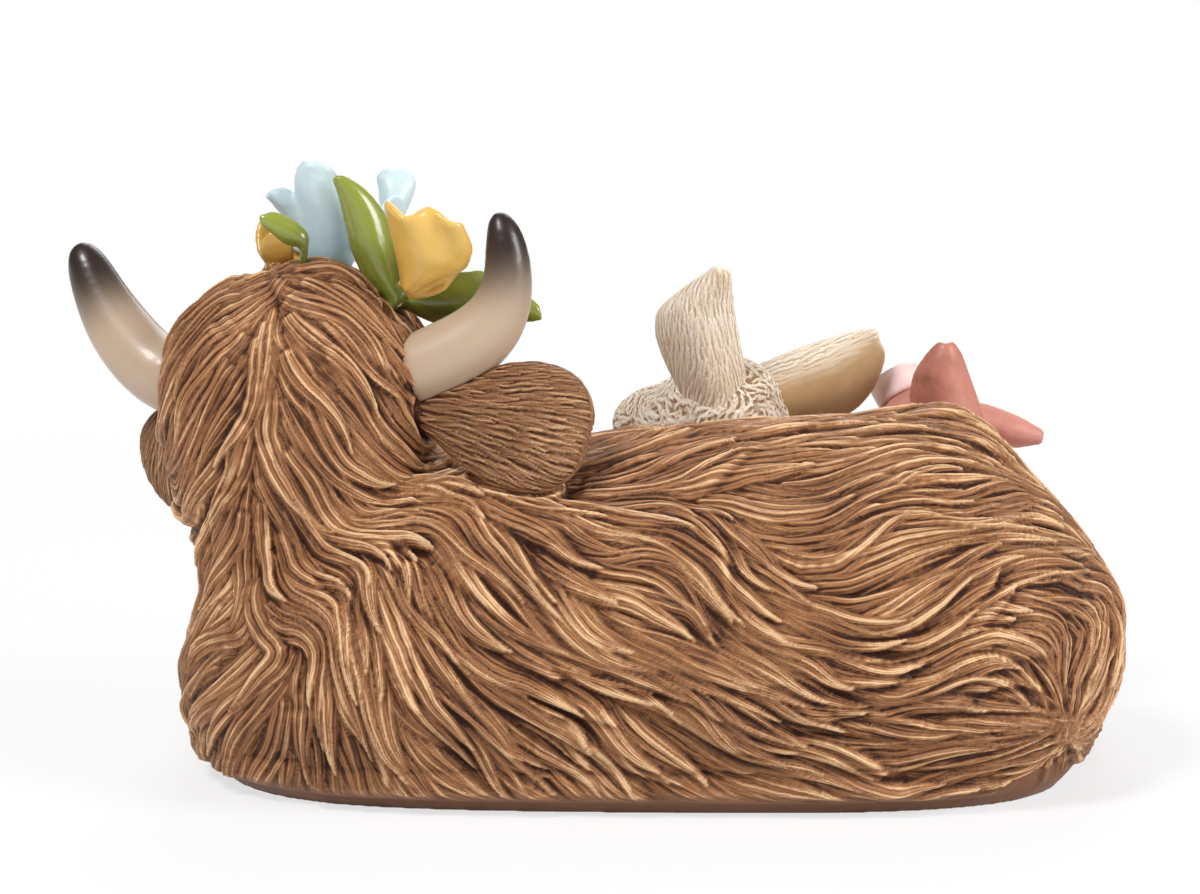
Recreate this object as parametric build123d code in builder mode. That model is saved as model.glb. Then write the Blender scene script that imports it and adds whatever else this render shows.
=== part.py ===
"""
Figurine of a long-haired cow that lies on the ground, with a lamb and a piglet that sit at its far
side and look over its back.

The figurine is a set of resin castings that are glued together on pegs and dowels. X runs from the
cow's chest to its rump, Y from the cow's back to the side that the faces look to, and Z is up. The
origin lies on the ground under the middle of the figurine.
"""
import os
from math import cos, radians, sin

from build123d import *

os.makedirs("parts", exist_ok=True)

# Fits that all the castings share
OVERRUN = 2.0
FIT = 0.15

# Torso: a hollow body with a round section that the ground cuts flat
CHEST_X = -89.3
BODY_LENGTH = 206.0
BODY_WIDTH = 98.0
BODY_HEIGHT = 77.5
BODY_KEEL = 20.0
SPINE_Y = -13.2
BODY_WALL = 8.0
# Each row: along the body, half width, top above the ground, underside below the ground
TORSO_SHARES = (
    (0.000, 0.17, 0.41, -0.70),
    (0.020, 0.45, 0.55, -0.28),
    (0.055, 0.65, 0.69, 0.10),
    (0.120, 0.84, 0.80, 0.44),
    (0.245, 0.95, 0.89, 0.76),
    (0.410, 0.985, 0.945, 0.93),
    (0.580, 1.00, 0.985, 1.00),
    (0.735, 0.99, 1.00, 0.96),
    (0.840, 0.92, 0.95, 0.72),
    (0.920, 0.76, 0.78, 0.22),
    (0.968, 0.53, 0.61, -0.40),
    (1.000, 0.20, 0.46, -1.00),
)
# The hollow follows the rows of the table between these places along the body
HOLLOW_FROM_SHARE = 0.40
HOLLOW_TO_SHARE = 0.93
POUR_ALONG_SHARE = 0.53
POUR_RADIUS = 9.0
PLUG_FLANGE = 3.0
PLUG_FLANGE_HEIGHT = 2.5
PLUG_RECESS = 0.5

# Cow's head: a neck and skull of flat-lying ovals, with a face that slopes down from the skull
HEAD_TURN = 20.0
FACE_DROP = 26.0
HEAD_SETBACK = 24.5
HEAD_FORWARD = 3.0
HEAD_RISE = 10.5
SKULL_WIDTH = 61.0
SKULL_DEPTH = 56.0
CROWN_HEIGHT = 27.5
NECK_LENGTH = 60.0
NECK_SHIFT_X = 3.5
NECK_SHIFT_Y = -5.0
# Each row: how far down the neck, half width, half depth
NECK_SHARES = (
    (1.00, 0.58, 0.80),
    (0.73, 0.79, 0.93),
    (0.50, 0.885, 0.965),
    (0.27, 0.967, 1.00),
    (0.03, 1.00, 1.00),
)
# Each row: how far up to the crown, half width, half depth
CROWN_SHARES = ((0.36, 0.885, 0.91), (0.69, 0.655, 0.69), (0.91, 0.37, 0.39), (1.0, 0.16, 0.17))
FACE_LENGTH = 44.0
FACE_WIDTH = 48.0
FACE_DEPTH = 42.0
# Each row: how far along the face, half width, half depth
FACE_SHARES = ((0.18, 1.0, 1.0), (0.45, 0.94, 0.95), (0.73, 0.77, 0.81), (1.0, 0.646, 0.643))
MUZZLE_LENGTH = 20.0
MUZZLE_WIDTH = 35.0
MUZZLE_DEPTH = 28.0
# Each row: how far along the muzzle, half width, half depth
MUZZLE_SHARES = ((0.30, 1.0, 1.0), (0.65, 0.94, 0.90), (0.90, 0.66, 0.58), (1.0, 0.34, 0.28))
NOSTRIL_RADIUS = 2.2
NOSTRIL_DEPTH = 4.0
NOSTRIL_SIDE_SHARE = 0.42
NOSTRIL_UP_SHARE = 0.30
EYE_RADIUS = 3.4
EYE_ALONG_SHARE = 0.45
EYE_SIDE_SHARE = 0.86
EYE_UP_SHARE = 0.24
NECK_PIN_RADIUS = 4.0
NECK_PIN_LENGTH = 36.0
NECK_PIN_DOWN_SHARE = 0.47

# Forelock: a mop of hair that falls from the crown over the brow
FORELOCK_WIDTH = 38.0
FORELOCK_THICKNESS = 12.0
# Each row: ahead of the skull, above the skull, half width, half thickness
FORELOCK_SHARES = (
    (0.70, 0.58, 0.50, 0.50),
    (0.90, 0.46, 0.92, 0.90),
    (1.10, 0.28, 1.00, 1.00),
    (1.32, 0.06, 0.80, 0.80),
    (1.46, -0.10, 0.36, 0.45),
)

# Horns: round, tapering, out to the side and then up
HORN_RADIUS = 7.2
HORN_PIN_RADIUS = 2.0
HORN_PIN_LENGTH = 18.0
RIGHT_HORN_REACH = 24.0
RIGHT_HORN_RISE = 35.5
RIGHT_HORN_SWING = -12.0
RIGHT_HORN_UP_SHARE = 0.02
LEFT_HORN_REACH = 29.8
LEFT_HORN_RISE = 29.0
LEFT_HORN_SWING = 157.0
LEFT_HORN_UP_SHARE = -0.10
HORN_SIDE_SHARE = 0.78
# Each row: outwards, upwards, radius; the dowel points to the third row
RIGHT_HORN_SHARES = (
    (0.00, 0.00, 1.00),
    (0.36, 0.09, 1.00),
    (0.68, 0.21, 0.96),
    (0.96, 0.41, 0.79),
    (1.05, 0.66, 0.60),
    (1.01, 0.90, 0.40),
    (0.97, 1.00, 0.14),
)
LEFT_HORN_SHARES = (
    (0.00, 0.00, 1.00),
    (0.31, 0.05, 1.00),
    (0.58, 0.26, 0.92),
    (0.80, 0.56, 0.76),
    (0.93, 0.82, 0.56),
    (0.98, 0.94, 0.38),
    (1.00, 1.00, 0.14),
)

# Ears of the cow: thick hanging lobes
EAR_HEIGHT = 29.0
EAR_THICKNESS = 11.0
EAR_SIDE_SHARE = 0.86
EAR_UP_SHARE = -0.22
RIGHT_EAR_LENGTH = 44.0
RIGHT_EAR_SWING = -25.0
RIGHT_EAR_DROOP = 5.0
RIGHT_EAR_LEAN = -22.0
LEFT_EAR_LENGTH = 27.0
LEFT_EAR_SWING = 125.0
LEFT_EAR_DROOP = 66.0
LEFT_EAR_LEAN = 0.0
# Each row: along the ear, half height, half thickness
EAR_SHARES = (
    (0.00, 0.26, 0.70),
    (0.20, 0.45, 0.90),
    (0.45, 0.86, 1.00),
    (0.72, 1.00, 0.95),
    (0.90, 0.80, 0.70),
    (1.00, 0.34, 0.30),
)

# Legs and tail of the cow
LEG_RADIUS = 11.5
LEG_HEIGHT = 10.5
LEG_WRIST_SHARE = 0.86
LEG_KNEE_SHARE = 0.60
# Each row: along the leg from its root, radius
LEG_SHARES = ((0.0, 1.0), (LEG_KNEE_SHARE, 1.0), (1.0, LEG_WRIST_SHARE))
FORELEG_PROUD = 12.0
LEFT_FORELEG_SHARE = 0.062
RIGHT_FORELEG_SHARE = 0.190
HIND_LEG_PROUD = 4.0
HIND_LEG_SHARE = 0.940
LEG_ROOT_SHARE = 0.20
HOOF_LENGTH = 11.0
HOOF_TOE_SHARE = 0.66
HOOF_CLEFT = 1.8
HOOF_CLEFT_SHARE = 0.70
TAIL_RADIUS = 5.0
# Each row: along the body, out from the spine, above the ground, radius
TAIL_SHARES = (
    (0.978, 0.28, 0.62, 0.70),
    (0.968, 0.50, 0.55, 0.80),
    (0.950, 0.67, 0.48, 0.95),
    (0.930, 0.77, 0.42, 1.20),
    (0.912, 0.83, 0.39, 0.80),
)

# Flower crown
PETAL_COUNT = 5
PETAL_THICKNESS = 2.0
PETAL_TURN = 12.0
STEM_RADIUS = 2.4
STEM_LENGTH = 7.0
BLUE_RADIUS = 17.5
BLUE_DEPTH = 16.0
RIGHT_YELLOW_RADIUS = 11.0
RIGHT_YELLOW_DEPTH = 18.0
LEFT_YELLOW_RADIUS = 8.5
LEFT_YELLOW_DEPTH = 13.5
PETAL_REACH_SHARE = 0.52
PETAL_LONG_SHARE = 0.50
PETAL_WIDE_SHARE = 0.37
CUP_FLOOR_SHARE = 0.38
CUP_BELLY_SHARES = (0.70, 0.32)
CENTRE_SHARE = 0.34
CENTRE_ROUND_SHARE = 0.80
LEAF_LENGTH = 28.0
LEAF_WIDTH = 11.0
LEAF_THICKNESS = 1.8
LEAF_SAG = 2.0
FLOWER_SIZES = {
    "blue_flower": (BLUE_RADIUS, BLUE_DEPTH),
    "yellow_flower_right": (RIGHT_YELLOW_RADIUS, RIGHT_YELLOW_DEPTH),
    "yellow_flower_left": (LEFT_YELLOW_RADIUS, LEFT_YELLOW_DEPTH),
}
# Flowers whose petals are pressed flat against an earlier flower's cup
PRESSED_FLOWERS = {"yellow_flower_left": "blue_flower"}
# Each row: place on the skull to the side, ahead and up, and the direction that the flower looks in
FLOWER_SHARES = {
    "blue_flower": ((0.13, 0.45, 0.89), (0.05, 0.34, 0.94)),
    "yellow_flower_right": ((0.83, 0.00, 0.70), (0.30, -0.30, 0.90)),
    "yellow_flower_left": ((-0.32, 0.46, 0.80), (0.10, 0.10, 0.98)),
}
# Each row: place on the skull, the direction to the tip, the direction that the face looks in, size
LEAF_SHARES = {
    "leaf_1": ((0.63, 0.37, 0.58), (-0.41, -0.20, 0.88), (-0.2, -0.95, 0.1), 1.14),
    "leaf_2": ((0.80, 0.26, 0.42), (0.95, 0.30, -0.02), (0.2, -0.90, 0.4), 1.00),
    "leaf_3": ((0.13, -0.06, 0.99), (-0.83, -0.02, 0.55), (-0.3, -0.8, 0.5), 0.50),
    "leaf_4": ((0.44, 0.62, 0.62), (0.60, 0.76, 0.24), (-0.1, 0.2, 0.95), 0.85),
    "leaf_5": ((-0.66, 0.56, 0.34), (-0.50, 0.85, -0.05), (-0.2, 0.2, 0.95), 0.85),
}

# Lamb
LAMB_ALONG_SHARE = 0.600
LAMB_STANDOFF = 6.0
LAMB_HEIGHT = 58.0
LAMB_WIDTH = 38.0
LAMB_LEAN = 6.5
# Each row: above the ground, half width
LAMB_BODY_SHARES = ((0.0, 0.80), (0.24, 1.0), (0.55, 0.90), (0.82, 0.68), (1.0, 0.56))
LAMB_TURN = 144.0
LAMB_LIFT = -6.0
LAMB_HEAD_RISE = 13.0
LAMB_HEAD_SHIFT_X = -2.5
LAMB_HEAD_SHIFT_Y = -3.0
LAMB_HEAD_WIDTH = 31.0
LAMB_HEAD_LENGTH = 43.0
# Each row: along the head from its back, half width
LAMB_HEAD_SHARES = (
    (0.00, 0.50),
    (0.12, 0.84),
    (0.30, 1.00),
    (0.53, 0.84),
    (0.74, 0.62),
    (0.90, 0.50),
    (1.00, 0.26),
)
LAMB_EAR_LENGTH = 33.0
LAMB_EAR_WIDTH = 19.0
LAMB_EAR_THICKNESS = 4.0
LAMB_EAR_SAG = 3.5
LAMB_LEG_RADIUS = 5.0
LAMB_LEG_HEIGHT = 27.0
LAMB_LEG_SPACING = 13.0
LAMB_LEG_FORWARD = 15.0
LAMB_HOOF_HEIGHT = 6.0
LAMB_EYE_RADIUS = 2.2

# Piglet
PIGLET_ALONG_SHARE = 0.833
PIGLET_STANDOFF = 5.0
PIGLET_HEIGHT = 52.0
PIGLET_WIDTH = 34.0
PIGLET_LEAN = 8.0
# Each row: above the ground, half width
PIGLET_BODY_SHARES = ((0.0, 0.80), (0.27, 1.0), (0.58, 0.93), (0.85, 0.72), (1.0, 0.60))
PIGLET_TURN = 135.0
PIGLET_LIFT = 52.0
PIGLET_HEAD_RISE = 8.8
PIGLET_HEAD_SHIFT_X = -0.5
PIGLET_HEAD_SHIFT_Y = -1.0
PIGLET_HEAD_WIDTH = 28.0
PIGLET_HEAD_LENGTH = 31.0
# Each row: along the head from its back, half width
PIGLET_HEAD_SHARES = ((0.0, 0.46), (0.14, 0.82), (0.40, 1.0), (0.68, 0.84), (1.0, 0.50))
SNOUT_RADIUS = 6.4
SNOUT_LENGTH = 6.5
SNOUT_HOLE_RADIUS = 1.1
SNOUT_HOLE_SHARE = 0.38
PIGLET_EAR_LENGTH = 24.0
PIGLET_EAR_WIDTH = 14.0
PIGLET_EAR_THICKNESS = 3.0
PIGLET_EAR_SAG = 2.5
PIGLET_LEG_RADIUS = 4.8
PIGLET_LEG_HEIGHT = 24.0
PIGLET_LEG_SPACING = 12.0
PIGLET_LEG_FORWARD = 14.0
PIGLET_TROTTER_HEIGHT = 6.0
PIGLET_EYE_RADIUS = 1.8

# What the two small animals share: dowels, and places on their heads as shares of the head's width
SMALL_PIN_RADIUS = 2.0
SMALL_PIN_LENGTH = 18.0
SMALL_CLEFT = 1.2
SMALL_EYE_AHEAD_SHARE = 0.34
SMALL_EYE_SIDE_SHARE = 0.37
LAMB_EYE_UP_SHARE = -0.07
PIGLET_EYE_UP_SHARE = 0.14
SMALL_EAR_SIDE_SHARE = 0.26
SMALL_EAR_UP_SHARE = 0.26
LEG_ROUND_SHARE = 0.85
# Each row: the side of the head, the direction to the tip, and the direction that the hollow looks in
LAMB_EAR_SHARES = {
    "lamb_ear_left": (-1, (0.06, -0.45, 0.88), (0.1, 1.0, 0.1)),
    "lamb_ear_right": (1, (0.93, -0.12, 0.36), (0.3, -0.8, -0.5)),
}
PIGLET_EAR_SHARES = {
    "piglet_ear_left": (-1, (0.08, -0.10, 0.98), (-0.1, 1.0, 0.1)),
    "piglet_ear_right": (1, (0.54, 0.80, -0.05), (0.0, 0.6, 0.8)),
}

UP = Vector(0, 0, 1)


def heading(turn, lift=0):
    """Unit direction that is turned from +X about the vertical and lifted from the ground."""
    flat = cos(radians(lift))
    return Vector(flat * cos(radians(turn)), flat * sin(radians(turn)), sin(radians(lift)))


def run_of(points, index):
    """Unit direction of a row of points at one of them."""
    before = points[max(index - 1, 0)]
    after = points[min(index + 1, len(points) - 1)]
    return (after - before).normalized()


# Directions of the cow's head, and its main points
head_side = heading(-HEAD_TURN)
head_ahead = heading(90 - HEAD_TURN)
face_axis = heading(90 - HEAD_TURN, -FACE_DROP)
face_up = heading(90 - HEAD_TURN, 90 - FACE_DROP)
skull = Vector(CHEST_X + HEAD_SETBACK, SPINE_Y + HEAD_FORWARD, BODY_HEIGHT + HEAD_RISE)
neck_shift = Vector(NECK_SHIFT_X, NECK_SHIFT_Y, 0)


def head_point(side, ahead, up):
    """Point of the skull from shares of its half width, its half depth and its crown height."""
    return (
        skull
        + head_side * (side * SKULL_WIDTH / 2)
        + head_ahead * (ahead * SKULL_DEPTH / 2)
        + UP * (up * CROWN_HEIGHT)
    )


# Whole body, before it is hollowed: the pieces that rest on it are cut to its skin
with BuildPart() as body:
    for along, wide, top, keel in TORSO_SHARES:
        roof = top * BODY_HEIGHT
        sole = -keel * BODY_KEEL
        middle = Vector(CHEST_X + along * BODY_LENGTH, SPINE_Y, (roof + sole) / 2)
        with BuildSketch(Plane(middle, x_dir=(0, 1, 0), z_dir=(1, 0, 0))):
            Ellipse(wide * BODY_WIDTH / 2, (roof - sole) / 2)
    loft()
    split(bisect_by=Plane.XY, keep=Keep.TOP)

with BuildPart() as hollow:
    for along, wide, top, keel in TORSO_SHARES:
        if not HOLLOW_FROM_SHARE < along < HOLLOW_TO_SHARE:
            continue
        roof = top * BODY_HEIGHT - BODY_WALL
        sole = -keel * BODY_KEEL
        middle = Vector(CHEST_X + along * BODY_LENGTH, SPINE_Y, (roof + sole) / 2)
        with BuildSketch(Plane(middle, x_dir=(0, 1, 0), z_dir=(1, 0, 0))):
            Ellipse(wide * BODY_WIDTH / 2 - BODY_WALL, (roof - sole) / 2)
    loft()
    split(bisect_by=Plane.XY.offset(BODY_WALL), keep=Keep.TOP)

neck_pin_plane = Plane(
    skull + neck_shift * NECK_PIN_DOWN_SHARE - UP * (NECK_PIN_DOWN_SHARE * NECK_LENGTH)
)
pour_plane = Plane((CHEST_X + POUR_ALONG_SHARE * BODY_LENGTH, SPINE_Y, 0))

with BuildPart() as torso:
    add(body.part)
    add(hollow.part, mode=Mode.SUBTRACT)
    with BuildSketch(pour_plane):
        Circle(POUR_RADIUS)
    extrude(amount=BODY_WALL + OVERRUN, mode=Mode.SUBTRACT)
    with BuildSketch(pour_plane):
        Circle(POUR_RADIUS + PLUG_FLANGE)
    extrude(amount=PLUG_FLANGE_HEIGHT + PLUG_RECESS, mode=Mode.SUBTRACT)
    with BuildSketch(neck_pin_plane):
        Circle(NECK_PIN_RADIUS + FIT)
    extrude(amount=NECK_PIN_LENGTH / 2 + FIT, both=True, mode=Mode.SUBTRACT)
torso.part.label = "torso"
export_step(torso.part, "parts/torso.step")

with BuildPart() as pour_plug:
    with BuildSketch(pour_plane.offset(PLUG_RECESS)):
        Circle(POUR_RADIUS + PLUG_FLANGE - FIT)
    extrude(amount=PLUG_FLANGE_HEIGHT)
    with BuildSketch(pour_plane.offset(PLUG_RECESS)):
        Circle(POUR_RADIUS - FIT)
    extrude(amount=BODY_WALL - PLUG_RECESS)
pour_plug.part.label = "pour_plug"
export_step(pour_plug.part, "parts/pour_plug.step")

with BuildPart() as neck_pin:
    with BuildSketch(neck_pin_plane):
        Circle(NECK_PIN_RADIUS)
    extrude(amount=NECK_PIN_LENGTH / 2, both=True)
neck_pin.part.label = "neck_pin"
export_step(neck_pin.part, "parts/neck_pin.step")

# Whole head, before its sockets: the pieces that are glued on it are cut to its skin
with BuildPart() as head_form:
    for down, wide, deep in NECK_SHARES:
        middle = skull + neck_shift * down - UP * (down * NECK_LENGTH)
        with BuildSketch(Plane(middle, x_dir=head_side)):
            Ellipse(wide * SKULL_WIDTH / 2, deep * SKULL_DEPTH / 2)
    for up, wide, deep in CROWN_SHARES:
        with BuildSketch(Plane(skull + UP * (up * CROWN_HEIGHT), x_dir=head_side)):
            Ellipse(wide * SKULL_WIDTH / 2, deep * SKULL_DEPTH / 2)
    loft()
    for along, wide, deep in FACE_SHARES:
        middle = skull + face_axis * (along * FACE_LENGTH)
        with BuildSketch(Plane(middle, x_dir=head_side, z_dir=face_axis)):
            Ellipse(wide * FACE_WIDTH / 2, deep * FACE_DEPTH / 2)
    loft()
    add(body.part, mode=Mode.SUBTRACT)

face_end = Plane(skull + face_axis * FACE_LENGTH, x_dir=head_side, z_dir=face_axis)
with BuildPart() as muzzle:
    with BuildSketch(face_end):
        Ellipse(FACE_SHARES[-1][1] * FACE_WIDTH / 2, FACE_SHARES[-1][2] * FACE_DEPTH / 2)
    for along, wide, deep in MUZZLE_SHARES:
        with BuildSketch(face_end.offset(along * MUZZLE_LENGTH)):
            Ellipse(wide * MUZZLE_WIDTH / 2, deep * MUZZLE_DEPTH / 2)
    loft()
    add(body.part, mode=Mode.SUBTRACT)
    with BuildSketch(face_end.offset(MUZZLE_LENGTH)):
        for hand in (-1, 1):
            nostril_out = hand * NOSTRIL_SIDE_SHARE * MUZZLE_WIDTH / 2
            with Locations((nostril_out, NOSTRIL_UP_SHARE * MUZZLE_DEPTH / 2)):
                Circle(NOSTRIL_RADIUS)
    extrude(amount=-NOSTRIL_DEPTH, mode=Mode.SUBTRACT)
muzzle.part.label = "muzzle"
export_step(muzzle.part, "parts/muzzle.step")

eye_places = [
    skull
    + face_axis * (EYE_ALONG_SHARE * FACE_LENGTH)
    + head_side * (hand * EYE_SIDE_SHARE * FACE_WIDTH / 2)
    + face_up * (EYE_UP_SHARE * FACE_DEPTH / 2)
    for hand in (-1, 1)
]
with BuildPart() as eyes:
    with Locations(*eye_places):
        Sphere(EYE_RADIUS)
eyes.part.label = "eyes"
export_step(eyes.part, "parts/eyes.step")

# Horns, with a dowel in the root of each
horn_skin = (1 - HORN_SIDE_SHARE) * SKULL_WIDTH / 2

right_horn_out = heading(RIGHT_HORN_SWING)
right_horn_root = head_point(HORN_SIDE_SHARE, 0, RIGHT_HORN_UP_SHARE)
right_pin_run = (
    right_horn_out * (RIGHT_HORN_SHARES[2][0] * RIGHT_HORN_REACH)
    + UP * (RIGHT_HORN_SHARES[2][1] * RIGHT_HORN_RISE)
).normalized()
right_pin_plane = Plane(
    right_horn_root + right_pin_run * horn_skin, x_dir=right_horn_out.cross(UP), z_dir=right_pin_run
)
with BuildPart() as horn_right:
    points = [
        right_horn_root + right_horn_out * (out * RIGHT_HORN_REACH) + UP * (rise * RIGHT_HORN_RISE)
        for out, rise, wide in RIGHT_HORN_SHARES
    ]
    for index, (out, rise, wide) in enumerate(RIGHT_HORN_SHARES):
        with BuildSketch(Plane(points[index], x_dir=right_horn_out.cross(UP), z_dir=run_of(points, index))):
            Circle(wide * HORN_RADIUS)
    loft()
    add(head_form.part, mode=Mode.SUBTRACT)
    with BuildSketch(right_pin_plane):
        Circle(HORN_PIN_RADIUS + FIT)
    extrude(amount=HORN_PIN_LENGTH / 2 + FIT, both=True, mode=Mode.SUBTRACT)
horn_right.part.label = "horn_right"
export_step(horn_right.part, "parts/horn_right.step")

left_horn_out = heading(LEFT_HORN_SWING)
left_horn_root = head_point(-HORN_SIDE_SHARE, 0, LEFT_HORN_UP_SHARE)
left_pin_run = (
    left_horn_out * (LEFT_HORN_SHARES[2][0] * LEFT_HORN_REACH)
    + UP * (LEFT_HORN_SHARES[2][1] * LEFT_HORN_RISE)
).normalized()
left_pin_plane = Plane(
    left_horn_root + left_pin_run * horn_skin, x_dir=left_horn_out.cross(UP), z_dir=left_pin_run
)
with BuildPart() as horn_left:
    points = [
        left_horn_root + left_horn_out * (out * LEFT_HORN_REACH) + UP * (rise * LEFT_HORN_RISE)
        for out, rise, wide in LEFT_HORN_SHARES
    ]
    for index, (out, rise, wide) in enumerate(LEFT_HORN_SHARES):
        with BuildSketch(Plane(points[index], x_dir=left_horn_out.cross(UP), z_dir=run_of(points, index))):
            Circle(wide * HORN_RADIUS)
    loft()
    add(head_form.part, mode=Mode.SUBTRACT)
    with BuildSketch(left_pin_plane):
        Circle(HORN_PIN_RADIUS + FIT)
    extrude(amount=HORN_PIN_LENGTH / 2 + FIT, both=True, mode=Mode.SUBTRACT)
horn_left.part.label = "horn_left"
export_step(horn_left.part, "parts/horn_left.step")

with BuildPart() as horn_pins:
    for plane in (right_pin_plane, left_pin_plane):
        with BuildSketch(plane):
            Circle(HORN_PIN_RADIUS)
        extrude(amount=HORN_PIN_LENGTH / 2, both=True)
horn_pins.part.label = "horn_pins"
export_step(horn_pins.part, "parts/horn_pins.step")

# Ears of the cow
right_ear_run = heading(RIGHT_EAR_SWING, -RIGHT_EAR_DROOP)
right_ear_tall = heading(RIGHT_EAR_SWING, 90 - RIGHT_EAR_DROOP).rotate(
    Axis((0, 0, 0), right_ear_run), RIGHT_EAR_LEAN
)
right_ear_root = head_point(EAR_SIDE_SHARE, 0, EAR_UP_SHARE)
with BuildPart() as ear_right:
    for along, tall, thick in EAR_SHARES:
        middle = right_ear_root + right_ear_run * (along * RIGHT_EAR_LENGTH)
        with BuildSketch(Plane(middle, x_dir=right_ear_tall, z_dir=right_ear_run)):
            Ellipse(tall * EAR_HEIGHT / 2, thick * EAR_THICKNESS / 2)
    loft()
    add(head_form.part, mode=Mode.SUBTRACT)
    add(body.part, mode=Mode.SUBTRACT)
    add(horn_right.part, mode=Mode.SUBTRACT)
ear_right.part.label = "ear_right"
export_step(ear_right.part, "parts/ear_right.step")

left_ear_run = heading(LEFT_EAR_SWING, -LEFT_EAR_DROOP)
left_ear_tall = heading(LEFT_EAR_SWING, 90 - LEFT_EAR_DROOP).rotate(
    Axis((0, 0, 0), left_ear_run), LEFT_EAR_LEAN
)
left_ear_root = head_point(-EAR_SIDE_SHARE, 0, EAR_UP_SHARE)
with BuildPart() as ear_left:
    for along, tall, thick in EAR_SHARES:
        middle = left_ear_root + left_ear_run * (along * LEFT_EAR_LENGTH)
        with BuildSketch(Plane(middle, x_dir=left_ear_tall, z_dir=left_ear_run)):
            Ellipse(tall * EAR_HEIGHT / 2, thick * EAR_THICKNESS / 2)
    loft()
    add(head_form.part, mode=Mode.SUBTRACT)
    add(horn_left.part, mode=Mode.SUBTRACT)
ear_left.part.label = "ear_left"
export_step(ear_left.part, "parts/ear_left.step")

# Forelock
with BuildPart() as forelock:
    points = [head_point(0, ahead, up) for ahead, up, wide, thick in FORELOCK_SHARES]
    for index, (ahead, up, wide, thick) in enumerate(FORELOCK_SHARES):
        with BuildSketch(Plane(points[index], x_dir=head_side, z_dir=run_of(points, index))):
            Ellipse(wide * FORELOCK_WIDTH / 2, thick * FORELOCK_THICKNESS / 2)
    loft()
    add(head_form.part, mode=Mode.SUBTRACT)
forelock.part.label = "forelock"
export_step(forelock.part, "parts/forelock.step")

# Legs, hooves and tail of the cow
leg_root_y = SPINE_Y + LEG_ROOT_SHARE * BODY_WIDTH / 2
foreleg_end_y = SPINE_Y + BODY_WIDTH / 2 + FORELEG_PROUD
hind_leg_end_y = SPINE_Y + BODY_WIDTH / 2 + HIND_LEG_PROUD
left_foreleg_x = CHEST_X + LEFT_FORELEG_SHARE * BODY_LENGTH
right_foreleg_x = CHEST_X + RIGHT_FORELEG_SHARE * BODY_LENGTH
hind_leg_x = CHEST_X + HIND_LEG_SHARE * BODY_LENGTH

with BuildPart() as foreleg_left:
    for along, wide in LEG_SHARES:
        middle = Vector(left_foreleg_x, leg_root_y + along * (foreleg_end_y - leg_root_y), LEG_HEIGHT)
        with BuildSketch(Plane(middle, x_dir=(1, 0, 0), z_dir=(0, 1, 0))):
            Circle(wide * LEG_RADIUS)
    loft()
    split(bisect_by=Plane.XY, keep=Keep.TOP)
    add(body.part, mode=Mode.SUBTRACT)
foreleg_left.part.label = "foreleg_left"
export_step(foreleg_left.part, "parts/foreleg_left.step")

with BuildPart() as foreleg_right:
    for along, wide in LEG_SHARES:
        middle = Vector(right_foreleg_x, leg_root_y + along * (foreleg_end_y - leg_root_y), LEG_HEIGHT)
        with BuildSketch(Plane(middle, x_dir=(1, 0, 0), z_dir=(0, 1, 0))):
            Circle(wide * LEG_RADIUS)
    loft()
    split(bisect_by=Plane.XY, keep=Keep.TOP)
    add(body.part, mode=Mode.SUBTRACT)
foreleg_right.part.label = "foreleg_right"
export_step(foreleg_right.part, "parts/foreleg_right.step")

with BuildPart() as hind_leg:
    for along, wide in LEG_SHARES:
        middle = Vector(hind_leg_x, leg_root_y + along * (hind_leg_end_y - leg_root_y), LEG_HEIGHT)
        with BuildSketch(Plane(middle, x_dir=(1, 0, 0), z_dir=(0, 1, 0))):
            Circle(wide * LEG_RADIUS)
    loft()
    split(bisect_by=Plane.XY, keep=Keep.TOP)
    add(body.part, mode=Mode.SUBTRACT)
hind_leg.part.label = "hind_leg"
export_step(hind_leg.part, "parts/hind_leg.step")

hoof_radius = LEG_WRIST_SHARE * LEG_RADIUS
toe_radius = HOOF_TOE_SHARE * hoof_radius
toe_drop = (1 - HOOF_TOE_SHARE) * LEG_HEIGHT

with BuildPart() as fore_hooves:
    for hoof_x in (left_foreleg_x, right_foreleg_x):
        heel = Plane((hoof_x, foreleg_end_y, LEG_HEIGHT), x_dir=(1, 0, 0), z_dir=(0, 1, 0))
        toe = Plane(heel.offset(HOOF_LENGTH).origin - UP * toe_drop, x_dir=(1, 0, 0), z_dir=(0, 1, 0))
        with BuildSketch(heel):
            Circle(hoof_radius)
        with BuildSketch(toe):
            Circle(toe_radius)
        loft()
        with BuildSketch(toe):
            Rectangle(HOOF_CLEFT, 4 * hoof_radius)
        extrude(amount=-HOOF_CLEFT_SHARE * HOOF_LENGTH, mode=Mode.SUBTRACT)
    split(bisect_by=Plane.XY, keep=Keep.TOP)
fore_hooves.part.label = "fore_hooves"
export_step(fore_hooves.part, "parts/fore_hooves.step")

with BuildPart() as hind_hoof:
    heel = Plane((hind_leg_x, hind_leg_end_y, LEG_HEIGHT), x_dir=(1, 0, 0), z_dir=(0, 1, 0))
    toe = Plane(heel.offset(HOOF_LENGTH).origin - UP * toe_drop, x_dir=(1, 0, 0), z_dir=(0, 1, 0))
    with BuildSketch(heel):
        Circle(hoof_radius)
    with BuildSketch(toe):
        Circle(toe_radius)
    loft()
    with BuildSketch(toe):
        Rectangle(HOOF_CLEFT, 4 * hoof_radius)
    extrude(amount=-HOOF_CLEFT_SHARE * HOOF_LENGTH, mode=Mode.SUBTRACT)
    split(bisect_by=Plane.XY, keep=Keep.TOP)
hind_hoof.part.label = "hind_hoof"
export_step(hind_hoof.part, "parts/hind_hoof.step")

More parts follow.
